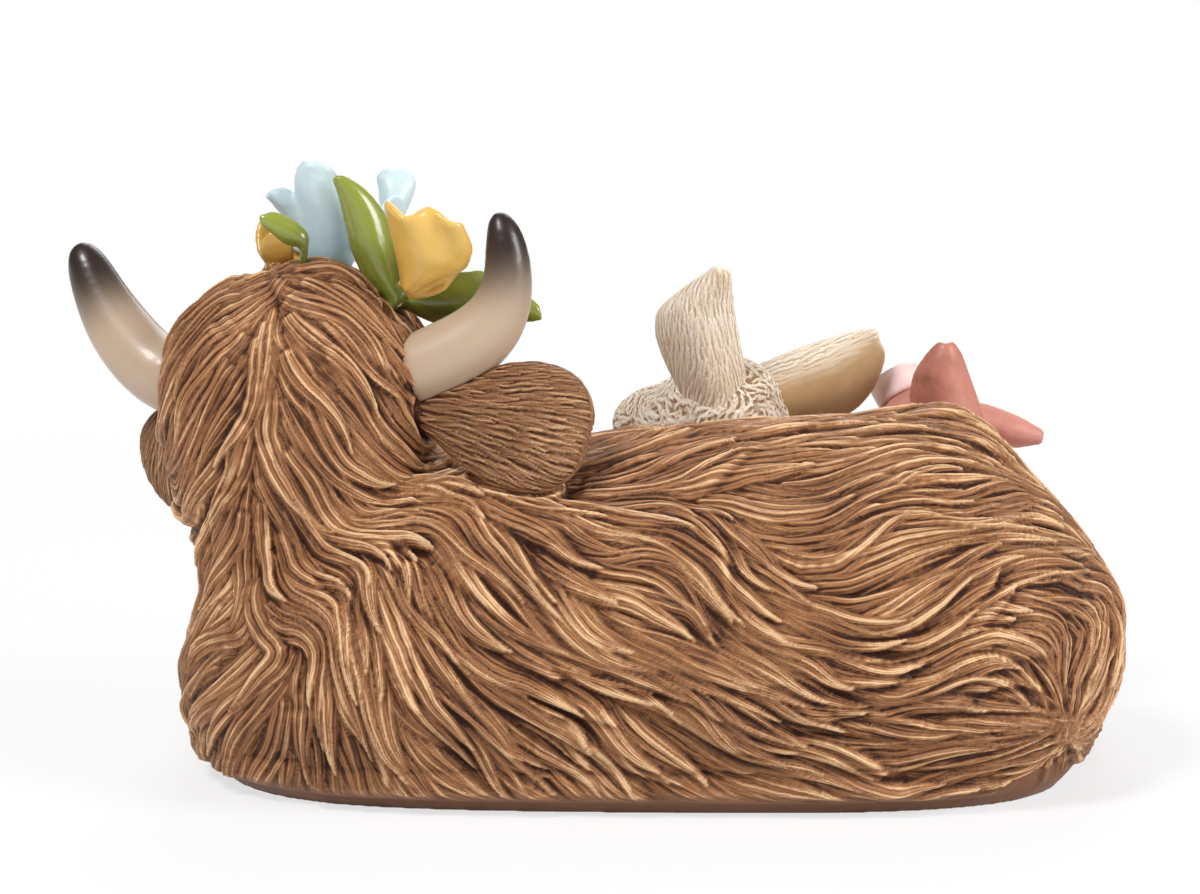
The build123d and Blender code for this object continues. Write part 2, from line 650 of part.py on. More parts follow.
with BuildPart() as tail:
    points = [
        Vector(
            CHEST_X + along * BODY_LENGTH, SPINE_Y + out * BODY_WIDTH / 2, above * BODY_HEIGHT
        )
        for along, out, above, wide in TAIL_SHARES
    ]
    for index, (along, out, above, wide) in enumerate(TAIL_SHARES):
        run = run_of(points, index)
        with BuildSketch(Plane(points[index], x_dir=UP.cross(run), z_dir=run)):
            Circle(wide * TAIL_RADIUS)
    loft()
    split(bisect_by=Plane.XY, keep=Keep.TOP)
    add(body.part, mode=Mode.SUBTRACT)
tail.part.label = "tail"
export_step(tail.part, "parts/tail.step")

# Flower crown: cups of petals with domed centres, each on a stem
flower_planes = {
    name: Plane(head_point(*place), x_dir=head_side.cross(Vector(look)), z_dir=Vector(look))
    for name, (place, look) in FLOWER_SHARES.items()
}
cups = {}
for name, plane in flower_planes.items():
    radius, depth = FLOWER_SIZES[name]
    belly_out = CUP_BELLY_SHARES[0] * radius
    belly_up = CUP_BELLY_SHARES[1] * depth
    with BuildPart() as cup:
        with BuildSketch(Plane(plane.origin, x_dir=plane.x_dir, z_dir=-plane.y_dir)):
            with BuildLine():
                foot = Line((0, 0), (STEM_RADIUS + FIT, 0))
                outside = ThreePointArc(foot @ 1, (belly_out + FIT, belly_up), (radius + FIT, depth))
                Polyline(outside @ 1, (radius + FIT, depth + OVERRUN), (0, depth + OVERRUN), (0, 0))
            make_face()
        revolve(axis=Axis(plane.origin, plane.z_dir))
    cups[name] = cup.part
    with BuildPart() as flower:
        with BuildSketch(Plane(plane.origin, x_dir=plane.x_dir, z_dir=-plane.y_dir)):
            with BuildLine():
                foot = Line((0, 0), (STEM_RADIUS, 0))
                outside = ThreePointArc(foot @ 1, (belly_out, belly_up), (radius, depth))
                rim = Line(outside @ 1, (radius - PETAL_THICKNESS, depth))
                inside = ThreePointArc(
                    rim @ 1,
                    (belly_out - PETAL_THICKNESS, belly_up + PETAL_THICKNESS),
                    (CUP_FLOOR_SHARE * radius, PETAL_THICKNESS),
                )
                Polyline(inside @ 1, (0, PETAL_THICKNESS), (0, 0))
            make_face()
        revolve(axis=Axis(plane.origin, plane.z_dir))
        with BuildSketch(plane):
            with PolarLocations(PETAL_REACH_SHARE * radius, PETAL_COUNT, start_angle=PETAL_TURN):
                Ellipse(PETAL_LONG_SHARE * radius, PETAL_WIDE_SHARE * radius)
            Circle(CUP_FLOOR_SHARE * radius)
        extrude(amount=depth + OVERRUN, mode=Mode.INTERSECT)
        add(head_form.part, mode=Mode.SUBTRACT)
        if name in PRESSED_FLOWERS:
            add(cups[PRESSED_FLOWERS[name]], mode=Mode.SUBTRACT)
        with BuildSketch(plane.offset(PETAL_THICKNESS)):
            Circle(STEM_RADIUS)
        extrude(amount=-STEM_LENGTH - PETAL_THICKNESS)
    flower.part.label = name
    export_step(flower.part, f"parts/{name}.step")

with BuildPart() as blue_flower_centre:
    plane = flower_planes["blue_flower"].offset(PETAL_THICKNESS)
    with BuildSketch(plane):
        Circle(CENTRE_SHARE * BLUE_RADIUS)
    dome = extrude(amount=CENTRE_SHARE * BLUE_RADIUS)
    top = dome.faces().sort_by(Axis(plane.origin, plane.z_dir))[-1]
    fillet(top.edges(), CENTRE_ROUND_SHARE * CENTRE_SHARE * BLUE_RADIUS)
blue_flower_centre.part.label = "blue_flower_centre"
export_step(blue_flower_centre.part, "parts/blue_flower_centre.step")

with BuildPart() as yellow_flower_centres:
    for name in ("yellow_flower_right", "yellow_flower_left"):
        plane = flower_planes[name].offset(PETAL_THICKNESS)
        centre_radius = CENTRE_SHARE * FLOWER_SIZES[name][0]
        with BuildSketch(plane):
            Circle(centre_radius)
        dome = extrude(amount=centre_radius)
        top = dome.faces().sort_by(Axis(plane.origin, plane.z_dir))[-1]
        fillet(top.edges(), CENTRE_ROUND_SHARE * centre_radius)
yellow_flower_centres.part.label = "yellow_flower_centres"
export_step(yellow_flower_centres.part, "parts/yellow_flower_centres.step")

# Leaves of the crown: almond outlines with a curled section, their feet sunk in the hair
for name, (place, tip, look, size) in LEAF_SHARES.items():
    run = Vector(tip).normalized()
    plane = Plane(head_point(*place), x_dir=run, z_dir=run.cross(Vector(look)).cross(run))
    length = size * LEAF_LENGTH
    half = size * LEAF_WIDTH / 2
    edge_top = LEAF_SAG + LEAF_THICKNESS
    with BuildPart() as leaf:
        with BuildSketch(plane):
            with BuildLine():
                ThreePointArc((0, 0), (length / 2, half), (length, 0))
                ThreePointArc((length, 0), (length / 2, -half), (0, 0))
            make_face()
        extrude(amount=edge_top, both=True)
        with BuildSketch(Plane(plane.origin, x_dir=plane.y_dir, z_dir=run)):
            with BuildLine():
                under = ThreePointArc((-half, LEAF_SAG), (0, 0), (half, LEAF_SAG))
                over = ThreePointArc((-half, edge_top), (0, LEAF_THICKNESS), (half, edge_top))
                Line(under @ 0, over @ 0)
                Line(under @ 1, over @ 1)
            make_face()
        extrude(amount=length, mode=Mode.INTERSECT)
        add(head_form.part, mode=Mode.SUBTRACT)
    leaf.part.label = name
    export_step(leaf.part, f"parts/{name}.step")

# Head, with the sockets of its eyes, dowels and flower stems
with BuildPart() as head:
    add(head_form.part)
    for place in eye_places:
        with Locations(Plane(place, x_dir=face_axis, z_dir=head_side)):
            Sphere(EYE_RADIUS + FIT, mode=Mode.SUBTRACT)
    with BuildSketch(neck_pin_plane):
        Circle(NECK_PIN_RADIUS + FIT)
    extrude(amount=NECK_PIN_LENGTH / 2 + FIT, both=True, mode=Mode.SUBTRACT)
    for plane in (right_pin_plane, left_pin_plane):
        with BuildSketch(plane):
            Circle(HORN_PIN_RADIUS + FIT)
        extrude(amount=HORN_PIN_LENGTH / 2 + FIT, both=True, mode=Mode.SUBTRACT)
    for plane in flower_planes.values():
        with BuildSketch(plane.offset(PETAL_THICKNESS)):
            Circle(STEM_RADIUS + FIT)
        extrude(amount=-STEM_LENGTH - PETAL_THICKNESS - FIT, mode=Mode.SUBTRACT)
head.part.label = "head"
export_step(head.part, "parts/head.step")

# Lamb: a sitting body that leans on the cow, and a head on a dowel
flank_y = SPINE_Y + BODY_WIDTH / 2
lamb_root = Vector(CHEST_X + LAMB_ALONG_SHARE * BODY_LENGTH, flank_y + LAMB_STANDOFF, 0)
lamb_top = lamb_root + Vector(0, -LAMB_LEAN, LAMB_HEIGHT)
lamb_skull = lamb_top + Vector(LAMB_HEAD_SHIFT_X, LAMB_HEAD_SHIFT_Y, LAMB_HEAD_RISE)
lamb_face = heading(LAMB_TURN, LAMB_LIFT)
lamb_side = heading(LAMB_TURN - 90)
lamb_crown = heading(LAMB_TURN, 90 + LAMB_LIFT)
lamb_pin_plane = Plane(lamb_top)

with BuildPart() as lamb_form:
    for above, wide in LAMB_BODY_SHARES:
        with BuildSketch(Plane(lamb_root + (lamb_top - lamb_root) * above)):
            Circle(wide * LAMB_WIDTH / 2)
    loft()
    add(body.part, mode=Mode.SUBTRACT)

with BuildPart() as lamb_body:
    add(lamb_form.part)
    with BuildSketch(lamb_pin_plane):
        Circle(SMALL_PIN_RADIUS + FIT)
    extrude(amount=SMALL_PIN_LENGTH / 2 + FIT, both=True, mode=Mode.SUBTRACT)
lamb_body.part.label = "lamb_body"
export_step(lamb_body.part, "parts/lamb_body.step")

lamb_widest = max(LAMB_HEAD_SHARES, key=lambda row: row[1])[0]
with BuildPart() as lamb_head_form:
    for along, wide in LAMB_HEAD_SHARES:
        middle = lamb_skull + lamb_face * ((along - lamb_widest) * LAMB_HEAD_LENGTH)
        with BuildSketch(Plane(middle, x_dir=lamb_side, z_dir=lamb_face)):
            Circle(wide * LAMB_HEAD_WIDTH / 2)
    loft()
    add(lamb_form.part, mode=Mode.SUBTRACT)
    add(body.part, mode=Mode.SUBTRACT)

lamb_eye_places = [
    lamb_skull
    + lamb_face * (SMALL_EYE_AHEAD_SHARE * LAMB_HEAD_WIDTH)
    + lamb_side * (hand * SMALL_EYE_SIDE_SHARE * LAMB_HEAD_WIDTH)
    + lamb_crown * (LAMB_EYE_UP_SHARE * LAMB_HEAD_WIDTH)
    for hand in (-1, 1)
]
with BuildPart() as lamb_eyes:
    with Locations(*lamb_eye_places):
        Sphere(LAMB_EYE_RADIUS)
lamb_eyes.part.label = "lamb_eyes"
export_step(lamb_eyes.part, "parts/lamb_eyes.step")

with BuildPart() as lamb_head:
    add(lamb_head_form.part)
    with BuildSketch(lamb_pin_plane):
        Circle(SMALL_PIN_RADIUS + FIT)
    extrude(amount=SMALL_PIN_LENGTH / 2 + FIT, both=True, mode=Mode.SUBTRACT)
    with Locations(*lamb_eye_places):
        Sphere(LAMB_EYE_RADIUS + FIT, mode=Mode.SUBTRACT)
lamb_head.part.label = "lamb_head"
export_step(lamb_head.part, "parts/lamb_head.step")

# Piglet: a sitting body that leans on the cow, and a lifted head on a dowel
piglet_root = Vector(CHEST_X + PIGLET_ALONG_SHARE * BODY_LENGTH, flank_y + PIGLET_STANDOFF, 0)
piglet_top = piglet_root + Vector(0, -PIGLET_LEAN, PIGLET_HEIGHT)
piglet_skull = piglet_top + Vector(PIGLET_HEAD_SHIFT_X, PIGLET_HEAD_SHIFT_Y, PIGLET_HEAD_RISE)
piglet_face = heading(PIGLET_TURN, PIGLET_LIFT)
piglet_side = heading(PIGLET_TURN - 90)
piglet_crown = heading(PIGLET_TURN, 90 + PIGLET_LIFT)
piglet_pin_plane = Plane(piglet_top)

with BuildPart() as piglet_form:
    for above, wide in PIGLET_BODY_SHARES:
        with BuildSketch(Plane(piglet_root + (piglet_top - piglet_root) * above)):
            Circle(wide * PIGLET_WIDTH / 2)
    loft()
    add(body.part, mode=Mode.SUBTRACT)
    add(hind_leg.part, mode=Mode.SUBTRACT)
    add(hind_hoof.part, mode=Mode.SUBTRACT)
    add(tail.part, mode=Mode.SUBTRACT)

with BuildPart() as piglet_body:
    add(piglet_form.part)
    with BuildSketch(piglet_pin_plane):
        Circle(SMALL_PIN_RADIUS + FIT)
    extrude(amount=SMALL_PIN_LENGTH / 2 + FIT, both=True, mode=Mode.SUBTRACT)
piglet_body.part.label = "piglet_body"
export_step(piglet_body.part, "parts/piglet_body.step")

piglet_widest = max(PIGLET_HEAD_SHARES, key=lambda row: row[1])[0]
with BuildPart() as piglet_head_form:
    for along, wide in PIGLET_HEAD_SHARES:
        middle = piglet_skull + piglet_face * ((along - piglet_widest) * PIGLET_HEAD_LENGTH)
        with BuildSketch(Plane(middle, x_dir=piglet_side, z_dir=piglet_face)):
            Circle(wide * PIGLET_HEAD_WIDTH / 2)
    loft()
    add(piglet_form.part, mode=Mode.SUBTRACT)
    add(body.part, mode=Mode.SUBTRACT)

piglet_eye_places = [
    piglet_skull
    + piglet_face * (SMALL_EYE_AHEAD_SHARE * PIGLET_HEAD_WIDTH)
    + piglet_side * (hand * SMALL_EYE_SIDE_SHARE * PIGLET_HEAD_WIDTH)
    + piglet_crown * (PIGLET_EYE_UP_SHARE * PIGLET_HEAD_WIDTH)
    for hand in (-1, 1)
]
with BuildPart() as piglet_eyes:
    with Locations(*piglet_eye_places):
        Sphere(PIGLET_EYE_RADIUS)
piglet_eyes.part.label = "piglet_eyes"
export_step(piglet_eyes.part, "parts/piglet_eyes.step")

with BuildPart() as piglet_head:
    add(piglet_head_form.part)
    with BuildSketch(piglet_pin_plane):
        Circle(SMALL_PIN_RADIUS + FIT)
    extrude(amount=SMALL_PIN_LENGTH / 2 + FIT, both=True, mode=Mode.SUBTRACT)
    with Locations(*piglet_eye_places):
        Sphere(PIGLET_EYE_RADIUS + FIT, mode=Mode.SUBTRACT)
piglet_head.part.label = "piglet_head"
export_step(piglet_head.part, "parts/piglet_head.step")

snout_plane = Plane(
    piglet_skull + piglet_face * ((1 - piglet_widest) * PIGLET_HEAD_LENGTH),
    x_dir=piglet_side,
    z_dir=piglet_face,
)
with BuildPart() as piglet_snout:
    with BuildSketch(snout_plane):
        Circle(SNOUT_RADIUS)
    extrude(amount=SNOUT_LENGTH)
    with BuildSketch(snout_plane.offset(SNOUT_LENGTH)):
        for hand in (-1, 1):
            with Locations((hand * SNOUT_HOLE_SHARE * SNOUT_RADIUS, 0)):
                Circle(SNOUT_HOLE_RADIUS)
    extrude(amount=-SNOUT_LENGTH / 2, mode=Mode.SUBTRACT)
piglet_snout.part.label = "piglet_snout"
export_step(piglet_snout.part, "parts/piglet_snout.step")

with BuildPart() as small_neck_pins:
    for plane in (lamb_pin_plane, piglet_pin_plane):
        with BuildSketch(plane):
            Circle(SMALL_PIN_RADIUS)
        extrude(amount=SMALL_PIN_LENGTH / 2, both=True)
    add(body.part, mode=Mode.SUBTRACT)
small_neck_pins.part.label = "small_neck_pins"
export_step(small_neck_pins.part, "parts/small_neck_pins.step")

# Ears of the lamb and the piglet: almond outlines with a hollow section
for name, (hand, tip, hollow_look) in LAMB_EAR_SHARES.items():
    run = Vector(tip).normalized()
    root = (
        lamb_skull
        + lamb_side * (hand * SMALL_EAR_SIDE_SHARE * LAMB_HEAD_WIDTH)
        + lamb_crown * (SMALL_EAR_UP_SHARE * LAMB_HEAD_WIDTH)
    )
    plane = Plane(root, x_dir=run, z_dir=run.cross(Vector(hollow_look)).cross(run))
    half = LAMB_EAR_WIDTH / 2
    edge_top = LAMB_EAR_SAG + LAMB_EAR_THICKNESS
    with BuildPart() as ear:
        with BuildSketch(plane):
            with BuildLine():
                ThreePointArc((0, 0), (LAMB_EAR_LENGTH / 2, half), (LAMB_EAR_LENGTH, 0))
                ThreePointArc((LAMB_EAR_LENGTH, 0), (LAMB_EAR_LENGTH / 2, -half), (0, 0))
            make_face()
        extrude(amount=edge_top, both=True)
        with BuildSketch(Plane(root, x_dir=plane.y_dir, z_dir=run)):
            with BuildLine():
                under = ThreePointArc((-half, LAMB_EAR_SAG), (0, 0), (half, LAMB_EAR_SAG))
                over = ThreePointArc((-half, edge_top), (0, LAMB_EAR_THICKNESS), (half, edge_top))
                Line(under @ 0, over @ 0)
                Line(under @ 1, over @ 1)
            make_face()
        extrude(amount=LAMB_EAR_LENGTH, mode=Mode.INTERSECT)
        add(lamb_head_form.part, mode=Mode.SUBTRACT)
    ear.part.label = name
    export_step(ear.part, f"parts/{name}.step")

for name, (hand, tip, hollow_look) in PIGLET_EAR_SHARES.items():
    run = Vector(tip).normalized()
    root = (
        piglet_skull
        + piglet_side * (hand * SMALL_EAR_SIDE_SHARE * PIGLET_HEAD_WIDTH)
        + piglet_crown * (SMALL_EAR_UP_SHARE * PIGLET_HEAD_WIDTH)
    )
    plane = Plane(root, x_dir=run, z_dir=run.cross(Vector(hollow_look)).cross(run))
    half = PIGLET_EAR_WIDTH / 2
    edge_top = PIGLET_EAR_SAG + PIGLET_EAR_THICKNESS
    with BuildPart() as ear:
        with BuildSketch(plane):
            with BuildLine():
                ThreePointArc((0, 0), (PIGLET_EAR_LENGTH / 2, half), (PIGLET_EAR_LENGTH, 0))
                ThreePointArc((PIGLET_EAR_LENGTH, 0), (PIGLET_EAR_LENGTH / 2, -half), (0, 0))
            make_face()
        extrude(amount=edge_top, both=True)
        with BuildSketch(Plane(root, x_dir=plane.y_dir, z_dir=run)):
            with BuildLine():
                under = ThreePointArc((-half, PIGLET_EAR_SAG), (0, 0), (half, PIGLET_EAR_SAG))
                over = ThreePointArc((-half, edge_top), (0, PIGLET_EAR_THICKNESS), (half, edge_top))
                Line(under @ 0, over @ 0)
                Line(under @ 1, over @ 1)
            make_face()
        extrude(amount=PIGLET_EAR_LENGTH, mode=Mode.INTERSECT)
        add(piglet_head_form.part, mode=Mode.SUBTRACT)
    ear.part.label = name
    export_step(ear.part, f"parts/{name}.step")

# Front legs of the lamb and the piglet
lamb_feet = [
    lamb_root + Vector(hand * LAMB_LEG_SPACING / 2, LAMB_LEG_FORWARD, 0) for hand in (-1, 1)
]
with BuildPart() as lamb_forelegs:
    for foot in lamb_feet:
        with BuildSketch(Plane(foot).offset(LAMB_HOOF_HEIGHT)):
            Circle(LAMB_LEG_RADIUS)
        leg = extrude(amount=LAMB_LEG_HEIGHT - LAMB_HOOF_HEIGHT)
        fillet(leg.faces().sort_by(Axis.Z)[-1].edges(), LEG_ROUND_SHARE * LAMB_LEG_RADIUS)
    add(lamb_form.part, mode=Mode.SUBTRACT)
lamb_forelegs.part.label = "lamb_forelegs"
export_step(lamb_forelegs.part, "parts/lamb_forelegs.step")

with BuildPart() as lamb_hooves:
    for foot in lamb_feet:
        with BuildSketch(Plane(foot)):
            Circle(LAMB_LEG_RADIUS)
        extrude(amount=LAMB_HOOF_HEIGHT)
        with BuildSketch(Plane(foot + Vector(0, LAMB_LEG_RADIUS, 0))):
            Rectangle(SMALL_CLEFT, LAMB_LEG_RADIUS)
        extrude(amount=LAMB_HOOF_HEIGHT, mode=Mode.SUBTRACT)
    add(lamb_form.part, mode=Mode.SUBTRACT)
lamb_hooves.part.label = "lamb_hooves"
export_step(lamb_hooves.part, "parts/lamb_hooves.step")

piglet_feet = [
    piglet_root + Vector(hand * PIGLET_LEG_SPACING / 2, PIGLET_LEG_FORWARD, 0) for hand in (-1, 1)
]
with BuildPart() as piglet_forelegs:
    for foot in piglet_feet:
        with BuildSketch(Plane(foot).offset(PIGLET_TROTTER_HEIGHT)):
            Circle(PIGLET_LEG_RADIUS)
        leg = extrude(amount=PIGLET_LEG_HEIGHT - PIGLET_TROTTER_HEIGHT)
        fillet(leg.faces().sort_by(Axis.Z)[-1].edges(), LEG_ROUND_SHARE * PIGLET_LEG_RADIUS)
    add(piglet_form.part, mode=Mode.SUBTRACT)
piglet_forelegs.part.label = "piglet_forelegs"
export_step(piglet_forelegs.part, "parts/piglet_forelegs.step")

with BuildPart() as piglet_trotters:
    for foot in piglet_feet:
        with BuildSketch(Plane(foot)):
            Circle(PIGLET_LEG_RADIUS)
        extrude(amount=PIGLET_TROTTER_HEIGHT)
        with BuildSketch(Plane(foot + Vector(0, PIGLET_LEG_RADIUS, 0))):
            Rectangle(SMALL_CLEFT, PIGLET_LEG_RADIUS)
        extrude(amount=PIGLET_TROTTER_HEIGHT, mode=Mode.SUBTRACT)
    add(piglet_form.part, mode=Mode.SUBTRACT)
piglet_trotters.part.label = "piglet_trotters"
export_step(piglet_trotters.part, "parts/piglet_trotters.step")
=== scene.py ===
# %% [markdown]
# # A painted resin cow with a flower crown
#
# The real ornament is cast in resin, glued together and painted by hand. The solids give the plain
# castings, and this lesson gives them what the sculptor and the painter added: combed fur, varnished
# horns, ruffled petals, curled leaves, and a wash of dark paint in every groove.
#
# The first cell loads the solids as a fixed frame. Everything below is in that frame. Lengths in the
# lesson are in millimetres, and Blender works in metres, so MM turns one into the other.

# %% Load the frame
import math

import bmesh
import bpy
import numpy as np
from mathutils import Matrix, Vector
from mathutils.bvhtree import BVHTree
from mathutils.kdtree import KDTree


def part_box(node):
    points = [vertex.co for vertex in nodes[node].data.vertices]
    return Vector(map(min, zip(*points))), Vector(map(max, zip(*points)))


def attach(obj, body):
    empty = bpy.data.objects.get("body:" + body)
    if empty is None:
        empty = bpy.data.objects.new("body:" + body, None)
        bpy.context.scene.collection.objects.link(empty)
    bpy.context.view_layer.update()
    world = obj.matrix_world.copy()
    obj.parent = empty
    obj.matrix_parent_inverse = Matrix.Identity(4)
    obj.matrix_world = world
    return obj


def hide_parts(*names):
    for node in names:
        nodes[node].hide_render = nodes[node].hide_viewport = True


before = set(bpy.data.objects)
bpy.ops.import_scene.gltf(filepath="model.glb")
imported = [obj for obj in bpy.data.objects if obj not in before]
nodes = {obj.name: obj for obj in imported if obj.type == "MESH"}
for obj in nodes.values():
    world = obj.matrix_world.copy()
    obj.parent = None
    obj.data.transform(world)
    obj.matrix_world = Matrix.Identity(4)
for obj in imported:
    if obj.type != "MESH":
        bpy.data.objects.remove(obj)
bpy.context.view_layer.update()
scene = bpy.context.scene
MM = 0.001
print("pieces in the frame:", len(nodes))

# %% [markdown]
# ## The camera
#
# The photograph looks at the back of the cow from a little above. A long lens far away keeps the
# perspective as flat as it is there. The camera comes first because the lie of the fur is drawn below
# as strokes on the picture, which are thrown from the camera onto the cow.

# %% Camera at the photograph's angle
PHOTO_WIDE, PHOTO_TALL = 1200, 894
LENS_MM, SENSOR_MM = 100.0, 36.0
AIM = Vector((2.0, -2.2, 70.5)) * MM
TILT = math.radians(9.0)
DISTANCE = 744.0 * MM

gaze = Vector((0, math.cos(TILT), -math.sin(TILT)))
upward = Vector((0, math.sin(TILT), math.cos(TILT)))
rightward = Vector((1, 0, 0))

camera_data = bpy.data.cameras.new("photo_camera")
camera_data.lens = LENS_MM
camera_data.sensor_width = SENSOR_MM
camera_data.sensor_fit = "HORIZONTAL"
camera_data.clip_start = 0.01
camera = bpy.data.objects.new("photo_camera", camera_data)
camera.location = AIM - gaze * DISTANCE
camera.rotation_euler = (math.radians(90) - TILT, 0, 0)
scene.collection.objects.link(camera)
scene.camera = camera


def ray_through(across, down):
    """Direction from the camera through a pixel of the photograph."""
    pixels_ahead = PHOTO_WIDE * LENS_MM / SENSOR_MM
    sideways = across - PHOTO_WIDE / 2
    upwards = PHOTO_TALL / 2 - down
    return (gaze * pixels_ahead + rightward * sideways + upward * upwards).normalized()


print("camera stands at", [round(c, 3) for c in camera.location])

# %% [markdown]
# ## Skins
#
# A sculptor models fur on one even skin, without steps where the castings meet. The voxel remesh
# modifier makes such a skin: it fuses copies of the solids into one closed mesh of equal squares. A few
# rounds of smoothing then soften the joins, and one level of subdivision makes it fine enough to comb.

# %% Helpers that make a skin


def joined_copy(names):
    """Mesh that holds copies of some pieces of the frame."""
    gathered = bmesh.new()
    for name in names:
        gathered.from_mesh(nodes[name].data)
    mesh = bpy.data.meshes.new("joined")
    gathered.to_mesh(mesh)
    gathered.free()
    return mesh


def modified(mesh, kind, **settings):
    """New mesh that one modifier makes of a mesh."""
    holder = bpy.data.objects.new("holder", mesh)
    scene.collection.objects.link(holder)
    modifier = holder.modifiers.new(kind, kind)
    for key, value in settings.items():
        setattr(modifier, key, value)
    graph = bpy.context.evaluated_depsgraph_get()
    made = bpy.data.meshes.new_from_object(holder.evaluated_get(graph))
    bpy.data.objects.remove(holder)
    bpy.data.meshes.remove(mesh)
    return made


def read_points(mesh):
    """Points of a mesh in millimetres, one row each."""
    flat = np.empty(len(mesh.vertices) * 3)
    mesh.vertices.foreach_get("co", flat)
    return flat.reshape(-1, 3) / MM


def read_normals(mesh):
    """Outward directions at the points of a mesh."""
    flat = np.empty(len(mesh.vertices) * 3)
    mesh.vertex_normals.foreach_get("vector", flat)
    return flat.reshape(-1, 3)


def read_edges(mesh):
    """Pairs of points that the edges of a mesh join."""
    flat = np.empty(len(mesh.edges) * 2, dtype=np.int64)
    mesh.edges.foreach_get("vertices", flat)
    return flat.reshape(-1, 2)


def write_points(mesh, points):
    """Moves the points of a mesh to places in millimetres."""
    mesh.vertices.foreach_set("co", (points * MM).ravel())
    mesh.update()


def box_mm(name):
    """Low and high corners of a piece of the frame, in millimetres."""
    return (np.array(corner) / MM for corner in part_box(name))


def skin_tree_of(mesh):
    """Search tree of a mesh, to throw rays at and to find nearest places."""
    work = bmesh.new()
    work.from_mesh(mesh)
    tree = BVHTree.FromBMesh(work)
    work.free()
    return tree


def evened(values, edges, rounds, pull=0.5):
    """Values at the points of a mesh, each drawn towards the mean of its neighbours."""
    values = values.reshape(len(values), -1).astype(float)
    near, far = edges[:, 0], edges[:, 1]
    total = len(values)
    links = np.bincount(edges.ravel(), minlength=total)
    for _ in range(rounds):
        for column in range(values.shape[1]):
            value = values[:, column]
            mean = np.bincount(near, value[far], total) + np.bincount(far, value[near], total)
            values[:, column] = value + pull * (mean / links - value)
    return values


def largest_island(mesh):
    """Drops every part of a mesh that isn't joined to its largest part."""
    edges = read_edges(mesh)
    label = np.arange(len(mesh.vertices))
    while True:
        lower = np.minimum(label[edges[:, 0]], label[edges[:, 1]])
        changed = label.copy()
        np.minimum.at(changed, edges[:, 0], lower)
        np.minimum.at(changed, edges[:, 1], lower)
        changed = changed[changed]
        if (changed == label).all():
            break
        label = changed
    keep = label == np.bincount(label).argmax()
    if not keep.all():
        work = bmesh.new()
        work.from_mesh(mesh)
        work.verts.ensure_lookup_table()
        loose = [work.verts[index] for index in np.flatnonzero(~keep)]
        bmesh.ops.delete(work, geom=loose, context="VERTS")
        work.to_mesh(mesh)
        work.free()
    return mesh


GROUND_MM = 0.3


def skin_from(mesh, voxel_mm, rounds):
    """Closed, even skin around a mesh, and how many of its points were there before subdivision."""
    mesh = modified(mesh, "REMESH", mode="VOXEL", voxel_size=voxel_mm * MM)
    mesh = largest_island(mesh)
    points = read_points(mesh)
    ground = points[:, 2] < GROUND_MM
    points = evened(points, read_edges(mesh), rounds)
    points[ground, 2] = 0
    points[:, 2] = np.maximum(points[:, 2], 0)
    write_points(mesh, points)
    return modified(mesh, "SUBSURF", levels=1, render_levels=1), len(points)


def skin_of(names, voxel_mm, rounds):
    """The same skin around copies of some pieces of the frame."""
    return skin_from(joined_copy(names), voxel_mm, rounds)


def finished(name, mesh, material, slot, *replaced):
    """Object of a mesh that rides on the part in place of some of its pieces."""
    mesh.polygons.foreach_set("use_smooth", np.ones(len(mesh.polygons), dtype=bool))
    mesh.materials.clear()
    mesh.materials.append(material)
    piece = bpy.data.objects.new(f"finished_{name}", mesh)
    scene.collection.objects.link(piece)
    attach(piece, "root")
    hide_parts(*replaced)
    return piece


def store(mesh, name, values):
    """Keeps a value for each point of a mesh, for its material to read."""
    layer = mesh.attributes.new(name, "FLOAT", "POINT")
    layer.data.foreach_set("value", np.asarray(values, dtype=np.float32))


print("helpers for skins are ready")

# %% [markdown]
# ## One skin for the cow
#
# Body, neck, head, legs and tail of the real casting flow into each other under the fur, so one skin
# covers them all. The tail lies against the rump and sinks into it towards its upper end, and a tuft
# of hair stands up behind the hip, where it hides the piglet's head.

# %% The cow's skin
SKIN_VOXEL_MM = 0.85
SKIN_ROUNDS = 14
SINK_NEAR_MM = 2.0
SINK_LEFT_SHARE = 0.05
TAIL_SINK_MM = (30.0, 52.0)
TUFT_MM = np.array((80.0, -6.0, 72.0))
TUFT_REACH_MM = 13.0
TUFT_RISE_MM = 5.0
TUFT_LEAN = np.array((0.25, 0.15, 1.0))
cow_skin, cow_anchors = skin_of(
    [
        "torso", "pour_plug", "neck_pin", "head", "forelock", "ear_left", "ear_right",
        "foreleg_left", "foreleg_right", "hind_leg", "tail",
    ],
    SKIN_VOXEL_MM,
    SKIN_ROUNDS,
)


def sunk(mesh, name, carrier, low_mm, high_mm):
    """Sinks a piece that a skin covers into the piece that carries it, more so from a low to a high mark."""
    points = read_points(mesh)
    low, high = box_mm(name)
    tree = skin_tree_of(nodes[carrier].data)
    inside = ((points > low - SINK_NEAR_MM) & (points < high + SINK_NEAR_MM)).all(1)
    for index in np.flatnonzero(inside):
        seat = np.array(tree.find_nearest(Vector(points[index]) * MM)[0]) / MM
        share = np.clip((high_mm - points[index, 2]) / (high_mm - low_mm), SINK_LEFT_SHARE, 1)
        points[index] = seat + (points[index] - seat) * share
    write_points(mesh, points)


sunk(cow_skin, "tail", "torso", *TAIL_SINK_MM)
cow_points = read_points(cow_skin)
tuft = TUFT_RISE_MM * np.exp(-(((cow_points - TUFT_MM) / TUFT_REACH_MM) ** 2).sum(1))
write_points(cow_skin, cow_points + tuft[:, None] * TUFT_LEAN)
cow_points = read_points(cow_skin)
cow_normals = read_normals(cow_skin)
cow_edges = read_edges(cow_skin)
print("points in the cow's skin:", len(cow_points), "of them anchors:", cow_anchors)

